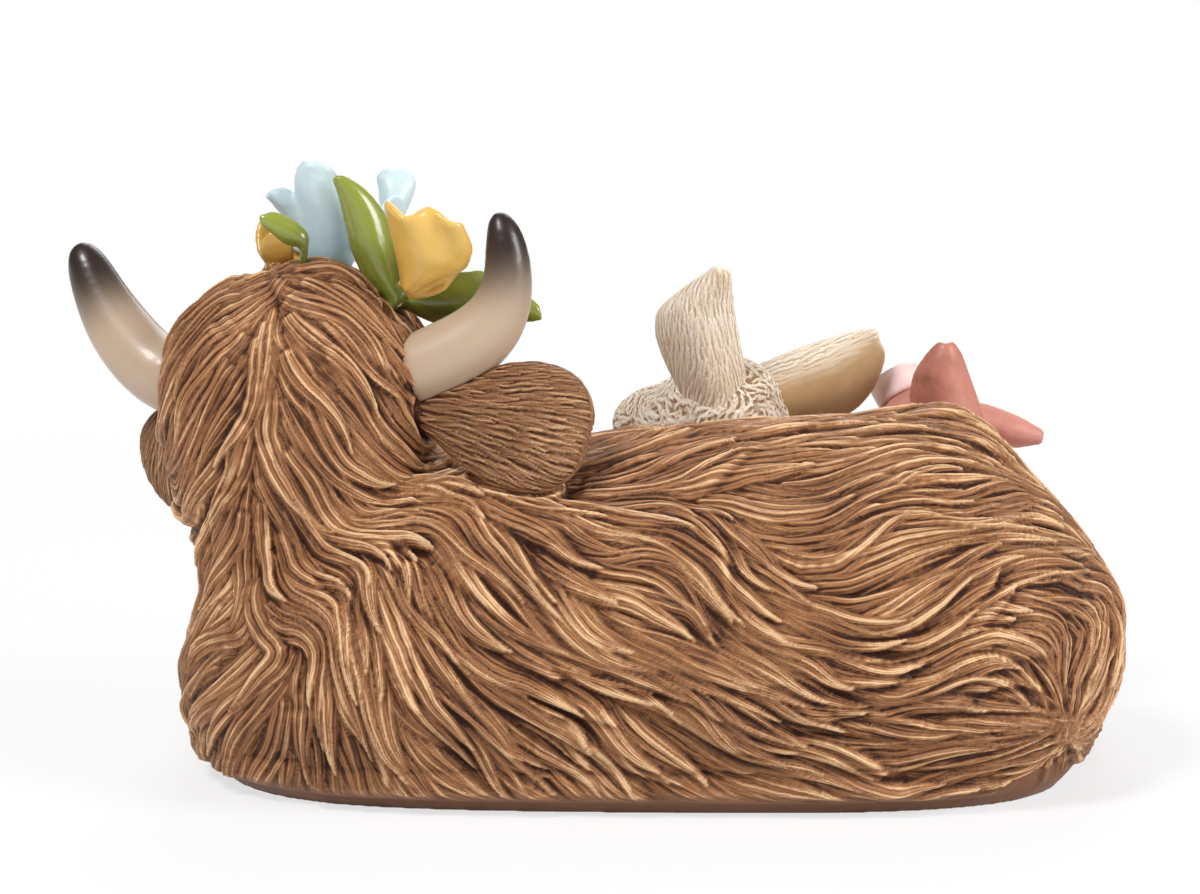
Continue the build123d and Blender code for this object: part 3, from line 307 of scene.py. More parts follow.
# %% [markdown]
# ## The lie of the fur
#
# A sculptor draws the lie of the coat first: it parts along the neck, fans out from the shoulder, runs
# along the back in waves and meets in a star on the rump. Each row below is one such stroke, as points
# on the photograph. The strokes are thrown onto the skin, and every place on the skin then takes its
# direction from the strokes near it. The far side, which the photograph doesn't show, takes the same
# strokes mirrored, and the face has a few strokes of its own.

# %% Strokes that give the lie of the fur
NECK_STROKES = (
    ((270, 277), (237, 287), (210, 303), (190, 327), (172, 352)),
    ((260, 310), (233, 333), (207, 363), (190, 390), (184, 415)),
    ((252, 360), (233, 387), (210, 417), (195, 447), (186, 480)),
    ((248, 413), (227, 440), (207, 470), (198, 493)),
    ((243, 480), (223, 507), (205, 540), (199, 567)),
    ((253, 527), (233, 560), (214, 593), (206, 607)),
    (
        (273, 273), (260, 307), (252, 357), (250, 400), (247, 447), (245, 487), (250, 523), (253, 553),
        (256, 600),
    ),
    ((280, 273), (310, 280), (342, 296)),
    ((300, 300), (347, 317), (370, 340), (387, 370), (407, 390)),
    ((273, 313), (297, 347), (330, 380), (353, 407), (373, 447), (387, 470)),
    ((357, 347), (380, 380), (400, 413), (423, 432)),
    ((353, 397), (373, 427), (407, 447), (447, 457)),
    ((273, 357), (283, 390), (317, 427), (340, 467), (367, 487), (407, 493), (473, 507)),
    ((253, 427), (280, 453), (303, 480), (327, 517), (353, 533), (380, 533), (413, 528)),
    ((250, 467), (273, 493), (297, 523), (317, 550), (347, 560)),
    ((253, 507), (270, 533), (287, 560), (307, 580), (333, 587)),
    ((250, 560), (260, 593), (280, 607), (307, 607), (323, 613)),
    ((255, 590), (267, 620), (287, 630)),
    ((300, 262), (335, 262), (365, 285), (385, 320)),
)
FLANK_STROKES = (
    ((367, 563), (360, 613), (367, 667), (380, 733), (393, 763)),
    ((340, 580), (347, 630), (350, 667)),
    ((393, 553), (407, 600), (433, 647), (467, 680), (507, 700), (543, 717)),
    ((387, 627), (407, 667), (440, 707), (473, 740), (487, 767)),
    ((383, 693), (397, 733), (433, 767), (463, 780)),
    ((297, 653), (283, 680), (293, 720), (307, 767)),
    ((320, 647), (320, 687), (327, 733), (340, 773)),
    ((340, 647), (353, 687), (370, 727), (387, 773)),
    ((280, 653), (247, 667), (217, 687), (200, 707)),
    ((273, 667), (247, 700), (222, 727)),
    ((277, 693), (260, 727), (245, 753)),
    ((247, 630), (222, 637), (200, 650)),
    ((407, 537), (433, 553), (447, 583), (463, 607), (487, 623)),
    ((440, 523), (463, 553), (493, 573)),
    ((473, 510), (493, 540), (517, 573), (540, 607), (567, 637), (607, 657), (663, 670)),
    ((500, 507), (527, 513), (553, 517)),
    ((537, 537), (563, 560), (603, 567), (647, 560), (680, 570)),
    ((553, 563), (573, 600), (590, 630), (620, 653), (680, 670)),
    ((580, 580), (623, 593), (657, 613), (680, 620)),
    ((447, 620), (463, 647), (490, 673), (543, 683)),
    ((490, 640), (540, 660), (580, 667), (623, 673), (663, 680)),
    ((513, 667), (540, 693), (580, 713), (600, 747), (623, 773)),
    ((573, 680), (610, 697), (633, 727), (660, 757), (680, 773)),
    ((473, 697), (500, 733), (533, 760), (577, 783)),
    ((413, 713), (447, 733), (480, 763)),
    ((620, 457), (660, 443), (703, 430), (747, 425)),
    ((620, 477), (670, 460), (720, 450), (777, 457), (827, 453), (873, 447)),
    ((670, 487), (707, 463), (747, 447), (787, 437)),
    ((680, 497), (727, 490), (773, 500), (827, 507), (873, 487), (920, 467)),
    ((620, 500), (670, 500), (703, 510), (723, 540), (737, 580), (763, 600), (807, 613)),
    ((720, 507), (747, 533), (787, 540), (827, 533), (863, 513), (903, 503), (953, 510), (997, 503)),
    ((747, 547), (780, 567), (827, 567), (860, 543), (887, 523), (927, 517), (970, 523)),
    ((620, 527), (660, 533), (693, 567), (710, 607), (730, 637), (767, 653), (807, 667)),
    ((620, 560), (657, 567), (687, 597), (707, 633), (740, 660)),
    ((763, 580), (800, 607), (847, 613), (893, 587), (920, 567), (953, 550), (997, 540)),
    ((800, 613), (847, 630), (903, 630), (940, 613), (970, 587), (997, 567)),
    ((780, 643), (827, 653), (880, 667), (920, 657), (947, 630), (973, 613), (1013, 613), (1053, 617)),
    (
        (807, 650), (847, 680), (887, 690), (927, 673), (953, 653), (987, 640), (1013, 653), (1037, 687),
        (1050, 713),
    ),
    ((687, 653), (730, 663), (780, 680), (820, 693), (840, 697)),
    ((620, 640), (660, 653), (703, 680), (747, 710), (793, 737)),
    ((620, 667), (653, 677), (693, 693), (720, 727), (760, 753), (807, 763)),
    ((620, 700), (647, 727), (687, 753), (730, 773), (770, 773)),
    ((620, 750), (660, 777), (707, 797)),
    ((760, 693), (807, 713), (853, 720), (900, 710), (947, 720), (987, 730), (1037, 717)),
    ((793, 733), (840, 737), (887, 750), (920, 747), (970, 730), (1020, 723), (1053, 717)),
    ((780, 753), (820, 763), (853, 780), (873, 787)),
    ((893, 777), (940, 760), (987, 753), (1037, 737), (1057, 727)),
    ((907, 693), (953, 680), (993, 693), (1030, 710)),
    ((1020, 587), (1063, 580), (1100, 587)),
    ((1013, 543), (1047, 550), (1083, 560)),
    ((997, 510), (1027, 503), (1048, 513)),
    ((897, 435), (940, 443), (987, 452), (1028, 472)),
    ((970, 440), (997, 457), (1030, 485)),
    ((1110, 620), (1100, 653), (1073, 693), (1063, 717)),
    ((1112, 680), (1097, 707), (1070, 723)),
    ((1053, 777), (1063, 753), (1060, 733)),
    ((1063, 633), (1060, 673), (1057, 710)),
)

# The far neck takes only the strokes that fall behind the ear
FAR_NECK = slice(10, 14)
SPINE_MM = np.array((0.0, -13.2, 0.0))
SPINE_ACROSS = np.array((0.0, 1.0, 0.0))
SKULL_MM = np.array((-64.8, -10.2, 88.0))
SKULL_HALF_WIDE_MM = 30.5
SKULL_HALF_DEEP_MM = 28
CROWN_MM = 27.5
HEAD_SIDE = np.array((0.940, -0.342, 0.0))
HEAD_AHEAD = np.array((0.342, 0.940, 0.0))
# Strokes of the face and the chest, in shares of the skull's half width, half depth and crown height
FACE_STROKE_SHARES = (
    ((0.0, 0.3, 0.9), (0.0, 0.9, 0.55), (0.0, 1.4, 0.0), (0.0, 2.0, -0.9)),
    ((0.3, 0.3, 0.85), (0.4, 0.9, 0.4), (0.5, 1.3, -0.2), (0.45, 1.8, -1.0)),
    ((-0.3, 0.3, 0.85), (-0.4, 0.9, 0.4), (-0.5, 1.3, -0.2), (-0.45, 1.8, -1.0)),
    ((0.7, 0.3, 0.4), (0.8, 0.8, -0.1), (0.8, 1.1, -0.8), (0.7, 1.2, -1.5)),
    ((-0.7, 0.3, 0.4), (-0.8, 0.8, -0.1), (-0.8, 1.1, -0.8), (-0.7, 1.2, -1.5)),
    ((-0.9, 0.6, -0.5), (-1.0, 0.7, -1.2), (-1.0, 0.8, -2.0)),
    ((0.9, 0.6, -0.6), (1.0, 0.8, -1.2), (1.1, 0.9, -1.9)),
    ((-1.1, 0.4, -1.2), (-1.2, 0.5, -2.0), (-1.2, 0.5, -2.9)),
    ((-0.6, 1.2, -1.6), (-0.6, 1.4, -2.3), (-0.6, 1.5, -3.0)),
)


def head_place(side, ahead, up):
    """Place on the cow's skull from shares of its half width, half depth and crown height."""
    sideways = HEAD_SIDE * side * SKULL_HALF_WIDE_MM
    return SKULL_MM + sideways + HEAD_AHEAD * ahead * SKULL_HALF_DEEP_MM + np.array((0, 0, up * CROWN_MM))


def thrown(stroke, tree):
    """Places in millimetres where a stroke on the photograph meets the skin."""
    places = []
    for across, down in stroke:
        hit = tree.ray_cast(camera.location, ray_through(across, down))[0]
        if hit is not None:
            places.append(np.array(hit) / MM)
    return places


def settled(places, tree):
    """Places in millimetres, moved to the nearest points of the skin."""
    return [np.array(tree.find_nearest(Vector(place) * MM)[0]) / MM for place in places]


def mirrored(places, centre, across):
    """Places mirrored in a plane through a centre."""
    return [place - 2 * np.dot(place - centre, across) * across for place in places]


RUN_SHORT_MM = 0.5
RUN_LONG_MM = 40


def guides_of(lines):
    """Middles and directions of the short runs that some lines are made of."""
    middles, runs = [], []
    for line in lines:
        for start, end in zip(line, line[1:]):
            length = np.linalg.norm(end - start)
            if RUN_SHORT_MM < length < RUN_LONG_MM:
                middles.append((start + end) / 2)
                runs.append((end - start) / length)
    return np.array(middles), np.array(runs)


cow_tree = skin_tree_of(cow_skin)
neck_lines = [thrown(stroke, cow_tree) for stroke in NECK_STROKES]
flank_lines = [thrown(stroke, cow_tree) for stroke in FLANK_STROKES]
far_neck = [settled(mirrored(line, SKULL_MM, HEAD_SIDE), cow_tree) for line in neck_lines[FAR_NECK]]
far_flank = [settled(mirrored(line, SPINE_MM, SPINE_ACROSS), cow_tree) for line in flank_lines]
face_lines = [
    settled([head_place(*place) for place in stroke], cow_tree) for stroke in FACE_STROKE_SHARES
]
guide_places, guide_runs = guides_of(neck_lines + flank_lines + far_flank + face_lines + far_neck)
print("runs that guide the fur:", len(guide_places))

# %% [markdown]
# ## Spreading the lie over the skin
#
# Between the strokes, the direction is a mean of theirs in which near strokes count most. It is then
# laid flat on the skin, so that hair never points into the body.

# %% Direction of the fur at every anchor
NEAR_MM = 4.0
POINTS_AT_ONCE = 4000
TINY = 1e-6


def laid_flat(runs, normals):
    """Directions turned to lie along the skin, each of length one."""
    runs = runs - normals * (runs * normals).sum(1, keepdims=True)
    return runs / np.maximum(np.linalg.norm(runs, axis=1, keepdims=True), TINY)


def lie_of(points, normals, places, runs):
    """Direction of the fur at some points, from strokes near them."""
    lie = np.empty_like(points)
    for first in range(0, len(points), POINTS_AT_ONCE):
        part = slice(first, first + POINTS_AT_ONCE)
        spans = (points[part] ** 2).sum(1)[:, None] + (places**2).sum(1)[None] - 2 * points[part] @ places.T
        lie[part] = (1 / (np.maximum(spans, 0) + NEAR_MM**2) ** 2) @ runs
    return laid_flat(lie, normals)


cow_lie = lie_of(cow_points[:cow_anchors], cow_normals[:cow_anchors], guide_places, guide_runs)
print("directions set:", len(cow_lie))

# %% [markdown]
# ## Locks
#
# A lock of sculpted fur is a ridge that starts thin, swells, and ends in a raised tip on top of the next
# one, with finer strands along it. Real hair curves could be laid on the skin, but a casting has no
# loose hairs: its fur is one relief. So each lock is traced along the lie of the fur and pressed into
# the skin as a height, and where locks cross, the higher one wins, as shingles do.

# %% Helpers that lay locks


class Cubes:
    """Points sorted into cubes, so that those near a place are found at once."""

    def __init__(self, points, size):
        self.size = size
        keys = np.floor(points / size).astype(np.int64)
        self.low = keys.min(0) - 2
        self.span = keys.max(0) - self.low + 3
        flat = self.flattened(keys - self.low)
        self.order = np.argsort(flat, kind="stable")
        self.flat = flat[self.order]
        steps = np.arange(-1, 2)
        self.around = np.stack(np.meshgrid(steps, steps, steps), -1).reshape(-1, 3)

    def flattened(self, keys):
        return (keys[..., 0] * self.span[1] + keys[..., 1]) * self.span[2] + keys[..., 2]

    def near(self, places):
        """Numbers of the points in the cubes around some places."""
        keys = np.floor(places / self.size).astype(np.int64) - self.low
        cubes = np.unique(self.flattened((keys[:, None] + self.around[None]).reshape(-1, 3)))
        first = np.searchsorted(self.flat, cubes, "left")
        last = np.searchsorted(self.flat, cubes, "right")
        return np.concatenate([self.order[a:b] for a, b in zip(first, last)])


def scattered(points, wanted, spacing, chance):
    """Numbers of points picked by chance, none nearer to another than the spacing."""
    taken, picked = {}, []
    keys = np.floor(points / spacing).astype(int)
    for index in chance.permutation(wanted):
        key = tuple(keys[index])
        crowd = [
            other
            for x in (-1, 0, 1)
            for y in (-1, 0, 1)
            for z in (-1, 0, 1)
            for other in taken.get((key[0] + x, key[1] + y, key[2] + z), ())
        ]
        if all(np.sum((points[index] - points[other]) ** 2) > spacing**2 for other in crowd):
            taken.setdefault(key, []).append(index)
            picked.append(index)
    return np.array(picked)


# Share of its course that a lock keeps at each step against the lie of the fur
COURSE_SHARE = 0.35


def traced(points, normals, lie, seeds, length, step):
    """Paths along the lie of the fur from some seeds, with the outward direction at each step."""
    tree = KDTree(len(points))
    for index, point in enumerate(points):
        tree.insert(point, index)
    tree.balance()
    place, run, up = points[seeds].copy(), lie[seeds].copy(), normals[seeds].copy()
    paths, ups = [place.copy()], [up]
    for _ in range(int(length.max() / step) + 1):
        place = place + run * step
        near = np.array([tree.find(p)[1] for p in place])
        up = normals[near]
        place = place - up * ((place - points[near]) * up).sum(1, keepdims=True)
        run = laid_flat(COURSE_SHARE * run + (1 - COURSE_SHARE) * lie[near], up)
        paths.append(place.copy())
        ups.append(up)
    return np.stack(paths, 1), np.stack(ups, 1)


# How a lock is shaped, in shares of its own height, width and length unless a name says otherwise
LIFT_SHARE = 0.45
LEAN_SHARE = 0.4
PITCH_SHARES = (0.75, 1.4)
STEP_MM = 0.8
STEP_SHARE = 0.16
CUBE_SHARE = 0.62
CUBE_STEPS = 1.5
SWAY_TURNS = 0.9
ROOT_WIDE_SHARE = 0.7
ROOT_SWELL = 1.5
TIP_POWER = 2.6
TIP_ROUND = 0.75
THIN_MM = 0.05
ROOT_BACK_SHARE = 0.06
RISE_SHARE = 0.6
RISE_MM = 1
FACING_LEAST = 0.25
CROWN_POWER = 0.55
ROOT_CLIMB_SHARE = 0.4
ROOT_RUN_SHARE = 0.06
LOW_SHARE = 0.45
CLIMB_RUN_SHARE = 0.75


def lay_locks(
    points, normals, anchors, lie, hair, seed, spacing, length, width, height, sway, strand, groove
):
    """Heights of locks pressed into a skin, with the place across each lock and its tint."""
    chance = np.random.default_rng(seed)
    wanted = np.flatnonzero(hair[:anchors] > 0.5)
    seeds = scattered(points[:anchors], wanted, spacing, chance)
    count = len(seeds)
    length = chance.uniform(*length, count)
    width = chance.uniform(*width, count)
    lift = chance.uniform(0, LIFT_SHARE, count) * height
    phase = chance.uniform(0, 2 * math.pi, count)
    tints = chance.uniform(0, 1, count)
    lean = chance.choice((-LEAN_SHARE, LEAN_SHARE), count)
    pitch = strand * chance.uniform(*PITCH_SHARES, count)
    step = max(STEP_MM, STEP_SHARE * width.mean())
    paths, ups = traced(points[:anchors], normals[:anchors], lie, seeds, length, step)
    cubes = Cubes(points, max(CUBE_SHARE * width.max(), CUBE_STEPS * step))
    relief, strands, tint = np.zeros(len(points)), np.zeros(len(points)), np.zeros(len(points))
    for lock in range(count):
        used = int(length[lock] / step) + 1
        path, up = paths[lock, :used], ups[lock, :used]
        run = np.gradient(path, axis=0)
        run /= np.maximum(np.linalg.norm(run, axis=1, keepdims=True), TINY)
        side = np.cross(up, run)
        shares = np.linspace(0, 1, used)[:, None]
        path = path + side * sway * np.sin(2 * math.pi * SWAY_TURNS * shares + phase[lock])
        near = cubes.near(path)
        spans = (points[near] ** 2).sum(1)[:, None] + (path**2).sum(1)[None] - 2 * points[near] @ path.T
        best = spans.argmin(1)
        away = points[near] - path[best]
        across = (away * side[best]).sum(1)
        share = (best * step + (away * run[best]).sum(1)) / length[lock]
        rise = np.abs((away * up[best]).sum(1))
        facing = (normals[near] * up[best]).sum(1)
        inner = np.clip(share, 0, 1)
        half = width[lock] / 2 * np.minimum(ROOT_WIDE_SHARE + ROOT_SWELL * inner, 1)
        half *= (1 - inner**TIP_POWER) ** TIP_ROUND
        middle = across / np.maximum(half, THIN_MM)
        inside = (share > -ROOT_BACK_SHARE) & (share < 1) & (np.abs(middle) < 1)
        inside &= (rise < RISE_SHARE * width[lock] + RISE_MM) & (facing > FACING_LEAST)
        near, inner, middle = near[inside], inner[inside], middle[inside]
        bulge = (1 - middle**2) ** CROWN_POWER * (1 + lean[lock] * middle)
        climb = LOW_SHARE + (1 - LOW_SHARE) * np.minimum(inner / CLIMB_RUN_SHARE, 1)
        climb *= np.minimum(ROOT_CLIMB_SHARE + inner / ROOT_RUN_SHARE, 1)
        strand_place = middle * width[lock] / 2 + phase[lock]
        furrow = 1 - np.abs(np.sin(math.pi * strand_place / pitch[lock]))
        tall = lift[lock] * climb + height * climb * bulge - groove * furrow * bulge
        better = tall > relief[near]
        chosen = near[better]
        relief[chosen] = tall[better]
        strands[chosen] = strand_place[better]
        tint[chosen] = tints[lock]
    print("locks laid:", count)
    return relief, strands, tint


# %% [markdown]
# ## The cow's coat
#
# The coat is combed three times. Broad, shallow waves come first and give the body its big swells, the
# long locks that the photograph shows are laid over them, and short ones fill what is left bare. Along
# the ground the casting has a plain rim without hair, so the locks fade out a little above it. The ears
# are pieces of their own, so the coat stays low where they hang.

# %% Comb the coat
RIM_MM = 7.0
RIM_EDGE_MM = 2.6
RIM_BLEND_MM = 3.4
GROWN_FROM_MM = 1.0
GROWN_OVER_MM = 9.0
SHORT_SHARE = 0.45
EAR_BOX_MM = 1
EAR_NEAR_MM = 1.2
EAR_SINK_MM = 0.9
COVERED_MM = 0.5
RIDGE_SPAN_MM = 1.7
BROAD_WAVES = dict(
    seed=11, spacing=9.5, length=(40, 64), width=(11, 17), height=2.3, sway=2.2, strand=5.0, groove=0.3
)
LONG_LOCKS = dict(
    seed=5, spacing=4.6, length=(26, 50), width=(4.8, 9.0), height=2.6, sway=1.0, strand=2.0, groove=0.8
)
SHORT_LOCKS = dict(
    seed=8, spacing=2.4, length=(9, 17), width=(2.0, 3.2), height=0.9, sway=0.3, strand=1.4, groove=0.2
)

cow_height = cow_points[:, 2]
cow_hair = (cow_height > RIM_MM).astype(float)
for name in ("ear_left", "ear_right"):
    low, high = box_mm(name)
    ear_tree = skin_tree_of(nodes[name].data)
    inside = ((cow_points > low - EAR_BOX_MM) & (cow_points < high + EAR_BOX_MM)).all(1)
    for index in np.flatnonzero(inside):
        if ear_tree.find_nearest(Vector(cow_points[index]) * MM)[3] < EAR_NEAR_MM * MM:
            cow_hair[index] = 0
ear_share = evened((cow_hair == 0) & (cow_height > RIM_MM + 1), cow_edges, 8)[:, 0]
grown = np.clip((cow_height - GROWN_FROM_MM) / GROWN_OVER_MM, 0, 1)
above_rim = np.clip((cow_height - RIM_EDGE_MM) / RIM_BLEND_MM, 0, 1)

combing = (cow_points, cow_normals, cow_anchors, cow_lie, cow_hair)
broad = lay_locks(*combing, **BROAD_WAVES)[0]
fine, cow_strands, cow_tint = lay_locks(*combing, **LONG_LOCKS)
under, under_strands, under_tint = lay_locks(*combing, **SHORT_LOCKS)
bare = under > fine
fine = np.where(bare, under, fine)
cow_strands = np.where(bare, under_strands, cow_strands)
cow_tint = np.where(bare, under_tint, cow_tint)

cow_relief = evened(broad, cow_edges, 6)[:, 0] + evened(fine, cow_edges, 2, 0.4)[:, 0]
cow_relief = cow_relief - np.median(cow_relief[cow_hair > 0.9]) * grown
cow_relief *= above_rim * (SHORT_SHARE + (1 - SHORT_SHARE) * grown)
cow_relief *= np.clip(1 - 1.6 * ear_share, 0, 1)
cow_relief -= EAR_SINK_MM * np.clip(2 * ear_share - 0.9, 0, 1)
cow_hair = np.maximum(cow_hair, np.clip(fine / COVERED_MM, 0, 1)) * above_rim
moved = cow_points + cow_normals * cow_relief[:, None]
moved[cow_height < THIN_MM, 2] = 0
moved[:, 2] = np.maximum(moved[:, 2], 0)
write_points(cow_skin, moved)
cow_ridge = cow_relief - evened(cow_relief, cow_edges, 16)[:, 0]
store(cow_skin, "ridge", np.clip(0.5 + cow_ridge / RIDGE_SPAN_MM, 0, 1))
store(cow_skin, "strand", cow_strands)
store(cow_skin, "tint", cow_tint)
store(cow_skin, "hair", cow_hair)
print("relief of the coat in mm:", round(cow_relief.min(), 2), "to", round(cow_relief.max(), 2))

# %% [markdown]
# ## Paint on combed fur
#
# The painter works in three coats: a mid brown all over, a dark wash that settles in the grooves, and a
# dry brush of golden tan that catches only the ridges. The same three coats go on the ears and, in cream,
# on the lamb, so they are one node group. It reads the heights that the combing kept, and adds hairlines
# finer than the mesh as a bump.

# %% Node group for brushed fur


def add(tree, kind, inputs=(), **settings):
    """New node with its inputs linked or set."""
    made = tree.nodes.new(kind)
    for key, value in settings.items():
        setattr(made, key, value)
    for key, value in dict(inputs).items():
        if isinstance(value, bpy.types.NodeSocket):
            tree.links.new(value, made.inputs[key])
        else:
            made.inputs[key].default_value = value
    return made


def maths(tree, operation, first, second=0.0, third=0.0):
    """Output of a maths node."""
    made = add(tree, "ShaderNodeMath", {0: first, 1: second, 2: third}, operation=operation)
    return made.outputs[0]


def mixed(tree, share, first, second):
    """Output of a node that mixes two colours."""
    return add(tree, "ShaderNodeMix", {0: share, 6: first, 7: second}, data_type="RGBA").outputs[2]


def noise(tree, scale, detail=2.0, roughness=0.5):
    """Output of noise over the object, with a scale in lumps for each metre."""
    place = add(tree, "ShaderNodeTexCoord").outputs["Object"]
    sockets = {"Vector": place, "Scale": scale, "Detail": detail, "Roughness": roughness}
    return add(tree, "ShaderNodeTexNoise", sockets).outputs["Fac"]


def ramped(tree, value, low, high):
    """Value stretched from a low and a high mark to zero and one."""
    made = add(tree, "ShaderNodeMapRange", {0: value, 1: low, 2: high})
    made.interpolation_type = "SMOOTHSTEP"
    return made.outputs[0]


def new_group(name, inputs, outputs):
    """Empty node group with named sockets, and its two ends."""
    tree = bpy.data.node_groups.new(name, "ShaderNodeTree")
    for socket, kind in inputs:
        tree.interface.new_socket(socket, in_out="INPUT", socket_type=kind)
    for socket, kind in outputs:
        tree.interface.new_socket(socket, in_out="OUTPUT", socket_type=kind)
    return tree, tree.nodes.new("NodeGroupInput"), tree.nodes.new("NodeGroupOutput")


def kept(tree, name):
    """Value that a mesh keeps for its points."""
    return add(tree, "ShaderNodeAttribute", attribute_name=name).outputs["Fac"]


VALUE, COLOUR = "NodeSocketFloat", "NodeSocketColor"
brushed_fur, fur_in, fur_out = new_group(
    "brushed_fur",
    [("Wash", COLOUR), ("Coat", COLOUR), ("Dry Brush", COLOUR), ("Hairline", VALUE)],
    [("Color", COLOUR), ("Height", VALUE)],
)
# Each share says how much a pattern shifts the border between the three coats of paint
HAIRLINE_MIDDLE, HAIRLINE_SHARE = 0.6, 0.13
PATCH_SHARE = 0.35
TINT_SHARE = 0.10
WASH_MARKS = (0.28, 0.60)
BRUSH_MARKS = (0.54, 0.80)


def shifted(value, middle, share, level):
    """Level that a pattern shifts by a share of its distance from its middle."""
    return maths(brushed_fur, "MULTIPLY_ADD", maths(brushed_fur, "SUBTRACT", value, middle), share, level)


wobble = maths(brushed_fur, "MULTIPLY", noise(brushed_fur, 150.0, 2.0), 5.0)
phase = maths(brushed_fur, "MULTIPLY_ADD", kept(brushed_fur, "strand"), fur_in.outputs["Hairline"], wobble)
hairline = maths(brushed_fur, "ABSOLUTE", maths(brushed_fur, "SINE", phase))
level = shifted(hairline, HAIRLINE_MIDDLE, HAIRLINE_SHARE, kept(brushed_fur, "ridge"))
level = shifted(noise(brushed_fur, 55.0, 3.0), 0.5, PATCH_SHARE, level)
level = shifted(kept(brushed_fur, "tint"), 0.5, TINT_SHARE, level)
in_groove = ramped(brushed_fur, level, *WASH_MARKS)
on_ridge = ramped(brushed_fur, level, *BRUSH_MARKS)
washed = mixed(brushed_fur, in_groove, fur_in.outputs["Wash"], fur_in.outputs["Coat"])
brushed = mixed(brushed_fur, on_ridge, washed, fur_in.outputs["Dry Brush"])
brushed_fur.links.new(brushed, fur_out.inputs["Color"])
brushed_fur.links.new(hairline, fur_out.inputs["Height"])
BUMP_DEEP = 0.5 * MM
STAIN_SHARE = 0.6
FUR_ROUGH, FUR_ROUGH_SHARE = 0.46, 0.16
FUR_SHINE = 0.28


def fur_material(name, wash, coat, dry_brush, hairline=3.4, rim=None, bump=0.5):
    """Painted fur in three colours."""
    material = bpy.data.materials.new(name)
    material.use_nodes = True
    tree = material.node_tree
    shader = tree.nodes["Principled BSDF"]
    fur = add(tree, "ShaderNodeGroup", node_tree=brushed_fur)
    for socket, value in (("Wash", wash), ("Coat", coat), ("Dry Brush", dry_brush)):
        fur.inputs[socket].default_value = (*value, 1)
    fur.inputs["Hairline"].default_value = hairline
    colour = fur.outputs["Color"]
    height = fur.outputs["Height"]
    # Bare parts take the rim colour: the cow's plain rim, and the lamb ears' hollow faces, where it is partly
    # painted shade
    if rim:
        stain = noise(tree, 180.0, 4.0, 0.6)
        plain = mixed(tree, stain, (*[c * STAIN_SHARE for c in rim], 1), (*rim, 1))
        hair = kept(tree, "hair")
        colour = mixed(tree, hair, plain, colour)
        height = maths(tree, "MULTIPLY", height, hair)
    tree.links.new(colour, shader.inputs["Base Color"])
    relief = add(tree, "ShaderNodeBump", {"Height": height, "Strength": bump, "Distance": BUMP_DEEP})
    tree.links.new(relief.outputs["Normal"], shader.inputs["Normal"])
    rough = maths(tree, "MULTIPLY_ADD", noise(tree, 90.0), FUR_ROUGH_SHARE, FUR_ROUGH)
    tree.links.new(rough, shader.inputs["Roughness"])
    shader.inputs["Specular IOR Level"].default_value = FUR_SHINE
    return material


cow_fur = fur_material(
    "cow_fur",
    wash=(0.045, 0.012, 0.004),
    coat=(0.370, 0.162, 0.065),
    dry_brush=(0.860, 0.560, 0.310),
    rim=(0.230, 0.100, 0.046),
)
coat = finished(
    "coat", cow_skin, cow_fur, "fur",
    "torso", "head", "forelock", "foreleg_left", "foreleg_right", "hind_leg", "tail",
)
print("coat has", len(coat.data.polygons), "faces")

# %% [markdown]
# ## The cow's ears
#
# Each ear is a thick lobe of its own that hangs from the head. Its hair is short and lies along the ear,
# spreading a little towards the rim, so it is combed with many small strokes in place of long locks.

# %% Comb the ears
SMALL_RIDGE_SHARE = 0.8


def heading(turn, lift):
    """Direction that is turned about the vertical from +X and lifted from the ground, in degrees."""
    turn, lift = math.radians(turn), math.radians(lift)
    return np.array((math.cos(lift) * math.cos(turn), math.cos(lift) * math.sin(turn), math.sin(lift)))


def combed_piece(
    name, replaced, voxel, lie_from, strokes, material, slot, rounds=8, bare=None, extra=(), start=None
):
    """Piece with its own skin, combed by one set of strokes."""
    mesh, anchors = skin_from(start or joined_copy([*replaced, *extra]), voxel, rounds)
    points, normals, edges = read_points(mesh), read_normals(mesh), read_edges(mesh)
    lie = laid_flat(lie_from(points[:anchors]), normals[:anchors])
    hair = np.ones(len(points)) if bare is None else 1 - bare(points, normals)
    relief, strand, tint = lay_locks(points, normals, anchors, lie, hair, **strokes)
    relief = evened(relief - np.median(relief), edges, 1, 0.4)[:, 0] * hair
    moved = points + normals * relief[:, None]
    moved[:, 2] = np.maximum(moved[:, 2], 0)
    write_points(mesh, moved)
    ridge = relief - evened(relief, edges, 10)[:, 0]
    store(mesh, "ridge", np.clip(0.5 + SMALL_RIDGE_SHARE * ridge / strokes["height"], 0, 1))
    for key, values in (("strand", strand), ("tint", tint), ("hair", hair)):
        store(mesh, key, values)
    return finished(name, mesh, material, slot, *replaced)


def fanned(root, run, spread):
    """Lie that runs one way and spreads from a line."""

    def lie(points):
        away = points - root
        away = away - run * (away @ run)[:, None]
        return run + spread * away

    return lie


ear_fur = fur_material(
    "ear_fur",
    wash=(0.060, 0.018, 0.006),
    coat=(0.330, 0.155, 0.068),
    dry_brush=(0.680, 0.420, 0.225),
    hairline=5.0,
)
EAR_STROKES = dict(
    seed=3, spacing=1.3, length=(6, 12), width=(0.9, 1.5), height=0.5, sway=0.2, strand=0.9, groove=0.08
)
EAR_VOXEL_MM = 0.62
EAR_SPREAD = 0.035
EAR_RUNS = {"ear_right": heading(-25.0, -5.0), "ear_left": heading(125.0, -66.0)}
for name, run in EAR_RUNS.items():
    low, high = box_mm(name)
    lie = fanned((low + high) / 2, run, EAR_SPREAD)
    combed_piece(name, [name], EAR_VOXEL_MM, lie, EAR_STROKES, ear_fur, "fur", rounds=6)

